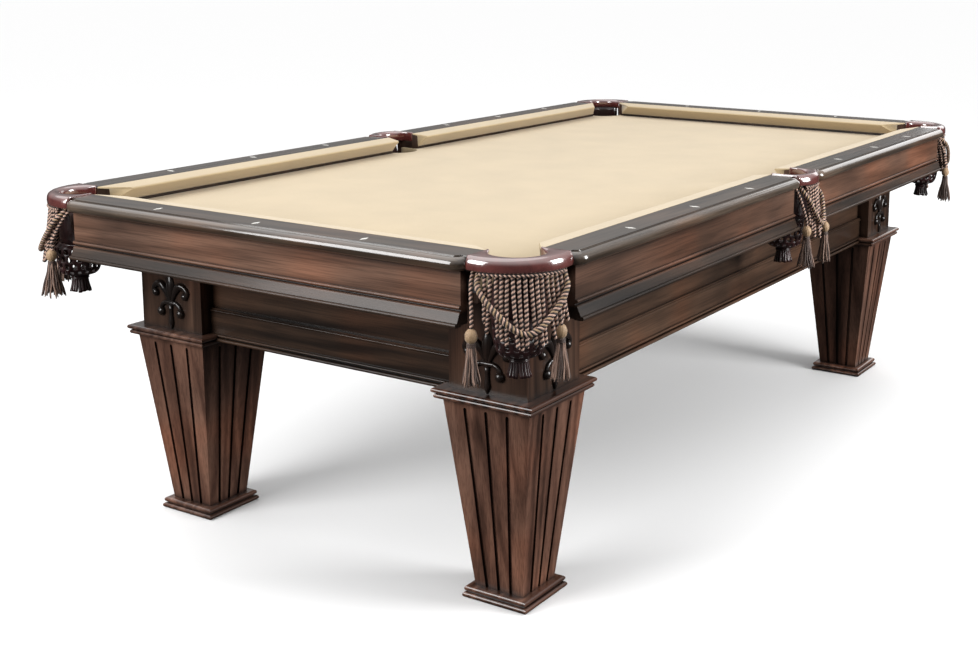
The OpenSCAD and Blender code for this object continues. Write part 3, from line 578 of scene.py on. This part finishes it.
# Material by the start of a node's name, first match first. A pair has its grain along X and along Y.
DRESS = [("leg_shaft", leg_wood), ("leg_blocks", block_wood_and_gap_shade), ("leg_collars", plate_wood),
         ("foot_", plate_wood), ("rail_cap", cap_wood), ("rail_apron", rail_wood), ("apron", apron_wood),
         # The rail bodies and slate liners take the dark block wood as painted shade in the gaps beside
         # the pockets
         ("slate_liners", block_wood_and_gap_shade), ("rail_bodies", block_wood_and_gap_shade), ("frame", frame_wood),
         ("slate", slate_stone), ("sights", pearl_shell), ("leveller", steel), ("leg_bolts", steel),
         ("rail_bolts", steel)]
ALONG_Y = ("rail_cap_near", "rail_cap_far", "rail_apron_near", "rail_apron_far", "apron_near",
           "apron_far", "frame_cross_beams")

for name in nodes:
    for start, material in DRESS:
        if name.startswith(start):
            worn = material[name in ALONG_Y] if isinstance(material, list) else material
            nodes[name].data.materials.clear()
            nodes[name].data.materials.append(worn)
            break


def part(piece, stands_for=()):
    """Lets a piece ride on the table, and hides the nodes that it stands for."""
    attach(piece, "table")
    if stands_for:
        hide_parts(*stands_for)
    return piece


# Camera, with the picture's size, the focal length and the middle of the view in pixels
PICTURE_WIDTH = 978
PICTURE_HEIGHT = 651
FOCAL = 1386.41
VIEW_MIDDLE = (592.5, 196.5)
SENSOR = 36.0
eye = Vector((-3.1849, -1.9727, 1.3172))
yaw, pitch, roll = math.radians(31.04), math.radians(-10.0), math.radians(0.47)
forward = Vector((math.cos(pitch) * math.cos(yaw), math.cos(pitch) * math.sin(yaw), math.sin(pitch)))
right = forward.cross(Vector((0, 0, 1))).normalized()
up = right.cross(forward)
turned_right = right * math.cos(roll) + up * math.sin(roll)
turned_up = up * math.cos(roll) - right * math.sin(roll)
turned = Matrix((turned_right, turned_up, -forward)).transposed().to_4x4()
camera_data = bpy.data.cameras.new("camera")
camera = linked("camera", camera_data)
bpy.context.scene.camera = camera
camera.matrix_world = Matrix.Translation(eye) @ turned
camera_data.sensor_width = SENSOR
camera_data.lens = FOCAL / PICTURE_WIDTH * SENSOR
camera_data.shift_x = (PICTURE_WIDTH / 2 - VIEW_MIDDLE[0]) / PICTURE_WIDTH
camera_data.shift_y = (VIEW_MIDDLE[1] - PICTURE_HEIGHT / 2) / PICTURE_WIDTH
camera_data.clip_end = 60.0


def tassel_route(pocket, side):
    """The cord of a tassel as it hangs, from the collar's lower edge down to the knob."""
    shift, drop, _ = HANGS.get((pocket.name, side), PLAIN_HANG)
    foot = pocket.tassel[-1][2]
    return [(x, side * (y + shift * z / foot), COLLAR_FOOT + z * (foot - drop) / foot)
            for x, y, z in pocket.tassel]


def tassel(pocket, side, tag):
    """Knob, bound neck and a skirt of yarn under the cord's end."""
    x, y, z = tassel_route(pocket, side)[-1]
    widest = HANGS.get((pocket.name, side), PLAIN_HANG)[2]
    shape = Shape()
    rows = []
    for t in np.linspace(0, math.pi, 13):
        ring = []
        for turn in np.linspace(0, 2 * math.pi, 36, endpoint=False):
            ridge = 1 + 0.055 * math.cos(12 * turn + 3.2 * t)
            r = max(0.6, KNOB_RADIUS * math.sin(t)) * ridge
            level = z - KNOB_MIDDLE + KNOB_HALF_HEIGHT * math.cos(t)
            ring.append((x + r * math.cos(turn), y + r * math.sin(turn), level))
        rows.append(pocket.place(ring))
    shape.grid(rows, 0, True, True)
    for fall in NECK_BANDS:
        band = circle(x, y, NECK_RADIUS, z - fall, 25, True)
        tube(shape, pocket.place(band), 0.0016, 6, 1, False)
    for count, inner, share in YARN_ROUNDS:
        for i in range(count):
            a = 2 * math.pi * i / count + dice.uniform(-0.12, 0.12)
            spread = widest * share + dice.uniform(-2.0, 1.0)
            length = YARN_LENGTH + dice.uniform(-7, 2)
            sway = dice.uniform(-0.22, 0.22)
            wave = dice.uniform(0, 6)
            line = []
            for t in np.linspace(0, 1, 17):
                r = inner + (spread - inner) * t ** 1.15 + 0.7 * math.sin(9 * t + wave)
                bend = a + sway * t * t + 0.05 * math.sin(11 * t + 2 * wave)
                line.append((x + r * math.cos(bend), y + r * math.sin(bend), z - YARN_TOP - length * t))
            thick = np.full(17, dice.uniform(1.4, 1.9)) * 0.001
            thick[-1] *= 0.6
            tube(shape, pocket.place(line), thick, 6, 1 if dice.random() < 0.55 else 2)
    made = shape.make(f"tassel_{pocket.name}_{tag}", [yarn_gold, yarn_brown, yarn_tan])
    part(made)
    return made


for pocket in POCKETS:
    half = [(x, y, z + COLLAR_FOOT) for x, y, z in pocket.swag]
    route = half + [(x, -y, z) for x, y, z in half[-2::-1]]
    line = smooth_line(pocket.place(route), 0.002)
    shape = Shape()
    rope(shape, line, SWAG_ROPE, [0, 1, 2, 1], 0.0014)
    swag = shape.make(f"swag_{pocket.name}", [yarn_gold, yarn_dark, yarn_light])
    part(swag)
    if pocket is POCKETS[0]:
        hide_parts("pocket_swags")
    length = round(float(distances(line)[-1]), 3)
    for side, tag in ((1, "a"), (-1, "b")):
        line = smooth_line(pocket.place(tassel_route(pocket, side)), 0.002)
        shape = Shape()
        rope(shape, line, TASSEL_ROPE, [0, 1], 0.0012)
        cord = part(shape.make(f"tassel_cord_{pocket.name}_{tag}", [yarn_light, yarn_dark]))
        hung = tassel(pocket, side, tag)
        length = round(float(distances(line)[-1]), 3)
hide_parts("pocket_tassels")


# Fringe: bullion loops under a band, and a rope trim along the collar's lower edge
def arc_points(pocket, radius, reach, z, count):
    """Points of a level arc round the middle of the collar's outside."""
    return [(pocket.arc_x + radius * math.cos(a), radius * math.sin(a), z)
            for a in np.linspace(-reach, reach, count)]


for pocket in POCKETS:
    ring = pocket.arc - 6
    count = int(pocket.fringe_half / FRINGE_SPACING)
    reach = math.asin(pocket.fringe_half / ring)
    spread = math.asin((pocket.fringe_half + 7) / ring)
    shape = Shape()
    rows = []
    section = [(ring - 4.5, -5), (ring + 4.2, -5), (ring + 4.5, -4.4), (ring + 4.5, -0.4),
               (ring - 4.5, -0.4)]
    for a in np.linspace(-spread, spread, 41):
        rows.append(pocket.place([(pocket.arc_x + r * math.cos(a), r * math.sin(a), COLLAR_FOOT + z)
                                  for r, z in section]))
    shape.grid(rows, 1, True, True)
    for k in range(-count, count + 1):
        a = k / count * reach
        length = FRINGE_LENGTH - FRINGE_RISE * (k / count) ** 2 + dice.uniform(-6, 2)
        gather = 3 * round(k / 3 + 0.2) - k
        drift = gather * reach / count * 0.36 + dice.uniform(-0.012, 0.012)
        out = dice.uniform(-2.5, 3.0)
        line = []
        for t in np.linspace(0, 1, 12):
            r = ring + (length * math.sin(FRINGE_LEAN) + out) * t ** 1.1
            b = a + drift * t ** 1.5 + 0.006 * math.sin(3 * t + k)
            line.append((pocket.arc_x + r * math.cos(b), r * math.sin(b),
                         COLLAR_FOOT - 3.0 - length * math.cos(FRINGE_LEAN) * t))
        rope(shape, smooth_line(pocket.place(line), 0.002), FRINGE_ROPE, [0, 1], 0.0012,
             dice.uniform(0, 6), True)
    made = part(shape.make(f"fringe_{pocket.name}", [yarn_light, yarn_dark]))
    shape = Shape()
    line = pocket.place(arc_points(pocket, ring + 4.6, spread, COLLAR_FOOT - 3.4, 90))
    rope(shape, line, TRIM_ROPE, [0, 1], 0.0011)
    part(shape.make(f"trim_{pocket.name}", [yarn_light, yarn_dark]))
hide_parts("pocket_fringes")


# Leather collars
def ray_out(pocket, a):
    """How far the collar reaches from the hole's centre at angle a, and whether a cap's end cuts it."""
    off = pocket.hole_x - pocket.arc_x
    free = -off * math.cos(a) + math.sqrt(pocket.arc ** 2 - (off * math.sin(a)) ** 2)
    b = abs(a)
    if pocket.corner:
        across = math.sin(b) - math.cos(b)
        wall = (pocket.hole_x + CORNER_END / DIAGONAL) / across if across > 0.05 else 1e9
    else:
        wall = SIDE_END / math.sin(b) if b > 0.05 else 1e9
    return min(free, wall - 0.15), free > wall


def collar_section(inner, outer, cut):
    """A collar's section between two radii: round lip inside, round shoulder outside, small foot."""
    width = outer - inner
    lip = min(10.0, 0.46 * width)
    shoulder = min(13.0, 0.5 * width) if not cut else min(2.2, 0.3 * width)
    foot = min(4.0, 0.3 * width)
    low, high = COLLAR_FOOT + 0.2, COLLAR_TOP
    section = [(inner, low + min(2.0, 0.3 * width))]
    for t in np.linspace(0, math.pi / 2, 7):
        section.append((inner + lip - lip * math.cos(t), high - lip + lip * math.sin(t)))
    for t in np.linspace(0, math.pi / 2, 9):
        section.append((outer - shoulder + shoulder * math.sin(t),
                        high - shoulder + shoulder * math.cos(t)))
    section.append((outer + (0.0 if cut else 0.5), (high + low) / 2 - 4))
    for t in np.linspace(0, math.pi / 2, 5):
        section.append((outer - foot + foot * math.cos(t), low + foot - foot * math.sin(t)))
    section.append((inner + min(2.0, 0.3 * width), low))
    return section


for pocket in POCKETS:
    reach = math.radians(pocket.reach - 0.4)
    shape = Shape()
    rows = []
    for a in np.linspace(-reach, reach, 97):
        outer, cut = ray_out(pocket, a)
        section = collar_section(pocket.hole, max(outer, pocket.hole + 1.2), cut)
        rows.append(pocket.place([(pocket.hole_x + r * math.cos(a), r * math.sin(a), z)
                                  for r, z in section]))
    shape.grid(rows, 0, True, True)
    part(shape.make(f"leather_{pocket.name}", [collar_leather]), stands_for=[f"collar_{pocket.name}"])


# Leather bags: a lining, a net bowl and a slit skirt
def thicken(made):
    """Gives a leather sheet its thickness."""
    thick = made.modifiers.new("thick", "SOLIDIFY")
    thick.thickness = LEATHER_THICKNESS
    thick.offset = 0.0


def bowl_rows(pocket):
    """Rings of the bowl from its top down. It sags a little below the second ring."""
    falls = [0, 4, 9, 14, 20, 26, 32, 38, 44, 50, 56, 62, 68, 74, 79]
    radii = [55.0, 53.5, 49.0, 48.6, 48.3, 48.0, 47.6, 47.1, 46.5, 45.8, 45.0, 43.9, 42.3, 39.4, 33.5]
    rows = []
    for i, (fall, r) in enumerate(zip(falls, radii)):
        z = BOWL_TOP - fall * (BOWL_TOP - BAG_FOOT - 6) / falls[-1]
        centre = pocket.hole_x + (pocket.bowl_x - pocket.hole_x) * min(1.0, i / 3)
        ring = []
        for turn in np.linspace(0, 2 * math.pi, NET_COLUMNS, endpoint=False):
            sag = 0.8 * math.sin(3 * turn + 0.08 * z) * (0 if i < 2 else 1)
            ring.append((centre + (r + sag) * math.cos(turn), (r + sag) * math.sin(turn), z))
        rows.append(pocket.place(ring))
    return rows


for pocket in POCKETS:
    shape = Shape()
    limit = math.radians(pocket.shield)
    rows = []
    turns = np.linspace(-math.pi, math.pi, 97)[:-1]
    for share in np.linspace(0, 1, 9):
        ring = []
        for a in turns:
            rise = 1 / (1 + math.exp((abs(a) - limit + 0.12) / 0.045))
            top = FRAME_TOP - 0.5 + (COLLAR_FOOT - FRAME_TOP - 0.1) * rise
            ring.append((pocket.hole_x + LINING_RADIUS * math.cos(a), LINING_RADIUS * math.sin(a),
                         BOWL_TOP + (top - BOWL_TOP) * share))
        rows.append(pocket.place(ring))
    shape.grid(rows, 0, True)
    made = shape.make(f"lining_{pocket.name}", [bag_leather])
    thicken(made)
    part(made)

    net = Shape()
    rows = bowl_rows(pocket)
    net.grid(rows, 0, True)
    keep, slots, uvs = [], [], []
    for i, face in enumerate(net.faces):
        row, column = divmod(i, NET_COLUMNS)
        band = row - 3
        hole = False
        if 0 <= band < 10:
            level, inside = divmod(band, 3)
            shifted = (column + 2 * (level % 2)) % 4
            hole = inside < 2 and shifted < 2 and level < 4
        if not hole:
            keep.append(face)
            slots.append(0)
            uvs += net.uvs[4 * i:4 * i + 4]
    net.faces, net.slots, net.uvs = keep, slots, uvs
    made = net.make(f"net_{pocket.name}", [bag_leather])
    thicken(made)
    soft = made.modifiers.new("soft", "SUBSURF")
    soft.levels = 1
    soft.render_levels = 1
    part(made, stands_for=[f"bag_{pocket.name}"])

    shape = Shape()
    rows = []
    for r, rise in ((0.5, 1.2), (12, 1.0), (24, 2.2), (33.5, 6.0), (34.5, 7.5), (33.5, 8.5), (23.5, 5.0),
                    (12, 4.0), (0.5, 4.0)):
        rows.append(pocket.place(circle(pocket.bowl_x, 0, r, BAG_FOOT + rise, 40)))
    shape.grid(rows, 0, True, True)
    for r, fall in ((17.6, 1.5), (17.9, 4.4)):
        band = circle(pocket.bowl_x, 0, r, BAG_FOOT - fall, 33, True)
        tube(shape, pocket.place(band), 0.0019, 8, 0, False)
    for i in range(STRIPS):
        turn = 2 * math.pi * i / STRIPS + dice.uniform(-0.03, 0.03)
        flare = dice.uniform(4.5, 7.5)
        drop = dice.uniform(-2.5, 0.0)
        lean = dice.uniform(-0.10, 0.10)
        rows = []
        for t in np.linspace(0, 1, 9):
            r = 15.6 + flare * t ** 1.7
            z = BAG_FOOT + 1.5 - (BAG_FOOT + 1.5 - SKIRT_FOOT + drop) * t
            b = turn + lean * t * t
            wide = (3.1 + 1.0 * t) / r
            ring = []
            for da, dr in ((-wide, 0.0), (0.0, 0.5), (wide, 0.0), (wide, 2.3), (0.0, 2.7), (-wide, 2.3)):
                away = r + dr - 1
                ring.append((pocket.bowl_x + away * math.cos(b + da), away * math.sin(b + da), z))
            rows.append(pocket.place(ring))
        shape.grid(rows, 0, True, True)
    part(shape.make(f"skirt_{pocket.name}", [bag_leather]))


# Bed cloth and cushions
def corner_edge(sx, sy):
    """The bed cloth's edge round a corner pocket, from the end rail's side to the long rail's side."""
    centre = CORNER_HOLE_X * DIAGONAL
    points = [(CLOTH_EDGE, -CLOTH_TURN)]
    for a in np.radians(np.linspace(-52.2, -217.8, 41)):
        points.append((centre + CLOTH_HOLE * math.cos(a), centre + CLOTH_HOLE * math.sin(a)))
    points.append((-CLOTH_TURN, CLOTH_EDGE))
    return [(sx * (NOSE_X + u), sy * (NOSE_Y + v)) for u, v in points]


def side_edge(sy):
    """The same for a side pocket, from +X to -X."""
    return [(CLOTH_HOLE * math.cos(a), sy * (NOSE_Y + SIDE_HOLE_X + CLOTH_HOLE * math.sin(a)))
            for a in np.radians(np.linspace(26.3, -206.3, 41))]


def bed_cloth():
    """The cloth over the slates, folded down along its whole edge, and its area."""
    edge = (corner_edge(1, 1) + side_edge(1) + corner_edge(-1, 1)[::-1] + corner_edge(-1, -1)
            + side_edge(-1)[::-1] + corner_edge(1, -1)[::-1])
    edge = np.array(edge)
    ahead = unit(np.roll(edge, -1, 0) - edge)
    mean = unit(ahead + np.roll(ahead, 1, 0))
    out = np.stack([mean[:, 1], -mean[:, 0]], 1)
    points, faces = [], []
    n = len(edge)
    for push, fall in ((0.0, 0.0), (1.0, 0.35), (1.7, 1.4), (1.9, 3.0), (1.9, FOLD_DEPTH)):
        ring = edge + push * out
        points += [(x * 0.001, y * 0.001, (BED - fall) * 0.001) for x, y in ring]
    flat = [Vector((x, y, 0)) for x, y in edge]
    for a, b, c in tessellate_polygon([flat]):
        faces.append((a, b, c))
    for level in range(4):
        for i in range(n):
            j = (i + 1) % n
            faces.append((level * n + i, level * n + j, (level + 1) * n + j, (level + 1) * n + i))
    mesh = bpy.data.meshes.new("bed_wool")
    mesh.from_pydata(points, [], faces)
    work = bmesh.new()
    work.from_mesh(mesh)
    bmesh.ops.recalc_face_normals(work, faces=work.faces)
    top = max(work.faces, key=lambda f: f.calc_area())
    if top.normal.z < 0:
        bmesh.ops.reverse_faces(work, faces=work.faces)
    area = sum(f.calc_area() for f in work.faces)
    for face in work.faces:
        face.smooth = abs(face.normal.z) < 0.99
    work.to_mesh(mesh)
    work.free()
    mesh.materials.append(bed_wool)
    return linked("bed_wool", mesh), area


bed, bed_area = bed_cloth()
part(bed, stands_for=["bed_cloth"])
min(bed_area, 3.28)

# A cushion's section: how far behind the nose, and how high, from the top to the foot and up the back
CUSHION_FRONT = [(48, 778.9), (47.2, 779.6), (45.5, 779.85), (40, 779.2), (30, 778.0), (20, 776.8),
                 (10, 775.6), (5, 774.9), (2.4, 774.2), (0.8, 773.1), (0.1, 771.7), (0.8, 770.2),
                 (2.6, 768.5), (8, 763.4), (14, 757.8), (20, 752.4), (24, 748.7), (27.5, 744.6),
                 (29.9, 741.9)]
CUSHION_BACK = [(30.2, 742.6), (31.2, 760), (32, 774.3), (38, 775.6), (47.9, 777.5)]


def cushion(name, place, low, high):
    """low and high give where the cushion starts and ends along the rail at each depth."""
    profile = CUSHION_FRONT + CUSHION_BACK
    middle = np.mean(profile, axis=0)
    rows = []
    steps = [(0.0, 1.5), (0.5, 0.6), (1.6, 0.12), (3.5, 0.0)]
    spots = [(low, s, shrink) for s, shrink in steps]
    spots += [(None, t, 0.0) for t in np.linspace(0.02, 0.98, 25)]
    spots += [(high, -s, shrink) for s, shrink in steps[::-1]]
    for end, s, shrink in spots:
        ring = []
        for y, z in profile:
            x = end(y) + s if end else low(y) + (high(y) - low(y)) * s
            inner_y = min(CUSHION_DEPTH, y + (middle[0] - y) * shrink / 14)
            inner_z = z + (middle[1] - z) * shrink / 14
            ring.append((x, inner_y, inner_z))
        rows.append(place(ring))
    shape = Shape()
    shape.grid(rows, 0, True, True)
    made = shape.make(f"wool_{name}", [bed_wool])
    part(made, stands_for=[name])


def end_rail(sx):
    """Places a cushion's points, which run along the rail and back from its nose, on an end rail."""
    def place(points):
        p = np.array(points, float)
        return np.stack([sx * (NOSE_X + p[:, 1]), -sx * p[:, 0], p[:, 2]], 1) * 0.001
    return place


def long_rail(sx, sy):
    """The same for half of a long rail."""
    def place(points):
        p = np.array(points, float)
        return np.stack([-sx * p[:, 0], sy * (NOSE_Y + p[:, 1]), p[:, 2]], 1) * 0.001
    return place


for tag, sx in (("near", -1), ("far", 1)):
    cushion(f"cushion_{tag}", end_rail(sx), lambda y: -(NOSE_Y - CORNER_TIP) - CORNER_SLOPE * y,
            lambda y: NOSE_Y - CORNER_TIP + CORNER_SLOPE * y)
    for side_tag, sy in (("right", -1), ("left", 1)):
        cushion(f"cushion_{side_tag}_{tag}", long_rail(sx, sy),
                lambda y: -NOSE_X + CORNER_TIP - CORNER_SLOPE * y, lambda y: -SIDE_TIP + SIDE_SLOPE * y)


# Carved lilies on the leg blocks
def lily():
    """One lily drawn face on, across and up, with the point of its stem below 0, 0."""
    h = LILY_HEIGHT
    shape = Shape()
    rows = []
    for v in np.linspace(0.02, 0.98, 15):
        y = (0.386 + 0.588 * v) * h
        wide = max(0.4, (math.sqrt(max(0.0, 0.42 ** 2 - (y / h - 0.68) ** 2)) - 0.3) * h)
        tall = 2.0 + 8.6 * math.sin(math.pi * v) ** 0.6
        ring = [(wide * math.sin(t), y, tall * math.cos(t) ** 1.4) for t in np.linspace(-1.5, 1.5, 11)]
        rows.append(ring + [(wide * 0.9, y, -1.0), (-wide * 0.9, y, -1.0)])
    shape.grid(rows, 0, True, True)
    for side in (-1, 1):
        petal = [(0.03, 0.38), (0.08, 0.50), (0.15, 0.63), (0.235, 0.72), (0.33, 0.73), (0.415, 0.68),
                 (0.455, 0.615), (0.44, 0.57), (0.40, 0.55)]
        sizes = [3.0, 4.4, 6.2, 8.2, 9.0, 8.0, 6.2, 6.0, 5.4]
        curl = [(0.03, 0.375), (0.10, 0.38), (0.18, 0.355), (0.235, 0.31), (0.26, 0.25), (0.262, 0.20)]
        curl_sizes = [3.4, 4.2, 4.8, 5.0, 5.0, 5.0]
        for route, size in ((petal, sizes), (curl, curl_sizes)):
            fine = smooth_line([(side * a * h, b * h, 2.4) for a, b in route], 2.0)
            thick = np.interp(np.linspace(0, 1, len(fine)), np.linspace(0, 1, len(size)), size)
            tube(shape, fine, thick, 12)
        for a, b, r in ((0.395, 0.545, 9.2), (0.26, 0.185, 10.6)):
            rows = [[(side * a * h + r * math.sin(t) * math.cos(u), b * h + r * math.cos(t),
                      2.6 + r * math.sin(t) * math.sin(u))
                     for u in np.linspace(0, 2 * math.pi, 20, endpoint=False)]
                    for t in np.linspace(0.06, math.pi - 0.06, 11)]
            shape.grid(rows, 0, True, True)
    tube(shape, [(x, 0.375 * h, 2.6) for x in np.linspace(-21, 21, 9)],
         [3.0, 4.8, 5.2, 5.6, 6.6, 5.6, 5.2, 4.8, 3.0], 12)
    stem = [(0, y * h, 2.2) for y in (-0.148, -0.12, -0.07, -0.01, 0.06, 0.14, 0.24, 0.34)]
    tube(shape, stem, [1.2, 3.0, 5.4, 7.4, 6.4, 5.0, 5.2, 6.4], 14)
    return shape


pattern = lily()
for tag, sx in (("near", -1), ("far", 1)):
    for side_tag, sy in (("right", -1), ("left", 1)):
        both = Shape()
        for out in ((sx, 0), (0, sy)):
            points = np.concatenate(pattern.points)
            across, height = points[:, 0], points[:, 1]
            depth = np.minimum(points[:, 2] * RELIEF_SHARE, RELIEF_LIMIT)
            x = sx * LEG_X + out[0] * (BLOCK_HALF + depth) + (0 if out[0] else across)
            y = sy * LEG_Y + out[1] * (BLOCK_HALF + depth) + (across if out[0] else 0)
            base = both.count
            both.points.append(np.stack([x, y, LEG_COLLAR_TOP + LILY_RISE + height], 1) * 0.001)
            both.faces += [tuple(base + i for i in face) for face in pattern.faces]
            both.slots += pattern.slots
            both.uvs += pattern.uvs
            both.count += len(points)
        made = both.make(f"lilies_{tag}_{side_tag}", [carved_wood])
        part(made)
        if sx < 0 and sy < 0:
            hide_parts("leg_ornaments")


# Floor and light
floor_mesh = bpy.data.meshes.new("floor")
floor_mesh.from_pydata([(-30, -30, 0), (60, -30, 0), (60, 60, 0), (-30, 60, 0)], [], [(0, 1, 2, 3)])
floor = linked("floor", floor_mesh)
floor_material, _, floor_shader = new_material("floor")
floor_shader.inputs["Base Color"].default_value = (0.88, 0.88, 0.88, 1)
floor_shader.inputs["Roughness"].default_value = 0.8
floor_shader.inputs["Specular IOR Level"].default_value = 0.1
floor_mesh.materials.append(floor_material)
floor.visible_diffuse = False
floor.visible_glossy = False

world = bpy.data.worlds.new("studio")
bpy.context.scene.world = world
world.use_nodes = True
sky_tree = world.node_tree
sky_coords = sky_tree.nodes.new("ShaderNodeTexCoord")
sky_height = sky_tree.nodes.new("ShaderNodeSeparateXYZ")
sky_tree.links.new(sky_coords.outputs["Generated"], sky_height.inputs["Vector"])
sky_colour = ramp(sky_tree, sky_height.outputs["Z"],
                  [(0.0, grey(0.05)), (0.3, grey(0.40)), (0.9, grey(1.1))])
sky_rays = sky_tree.nodes.new("ShaderNodeLightPath")
sky_seen = mixed(sky_tree, "MIX", sky_rays.outputs["Is Camera Ray"], sky_colour, grey(1.0))
sky_tree.links.new(sky_seen, sky_tree.nodes["Background"].inputs["Color"])
sky_tree.nodes["Background"].inputs["Strength"].default_value = 1.0
bpy.context.scene.view_settings.view_transform = "Standard"


def lamp(name, place, aim, size, power):
    """A soft light of the given width and height that faces aim."""
    data = bpy.data.lights.new(name, "AREA")
    data.shape = "RECTANGLE"
    data.size, data.size_y = size
    data.energy = power
    made = linked(name, data)
    made.location = place
    made.rotation_euler = (Vector(aim) - Vector(place)).to_track_quat("-Z", "Y").to_euler()


sun = bpy.data.lights.new("sun", "SUN")
sun.energy = 1.1
sun.angle = math.radians(75)
sun_lamp = linked("sun", sun)
sun_lamp.rotation_euler = Vector((-0.10, -0.42, -1.0)).to_track_quat("-Z", "Y").to_euler()
lamp("left", (-4.0, 1.4, 1.9), (-1.2, -0.3, 0.7), (2.2, 2.4), 150)
lamp("right", (0.7, -3.8, 1.6), (-0.6, -0.5, 0.6), (1.6, 2.2), 185)
lamp("beyond", (6.0, -0.6, 2.5), (0.0, -0.7, 0.7), (3.2, 2.0), 32)
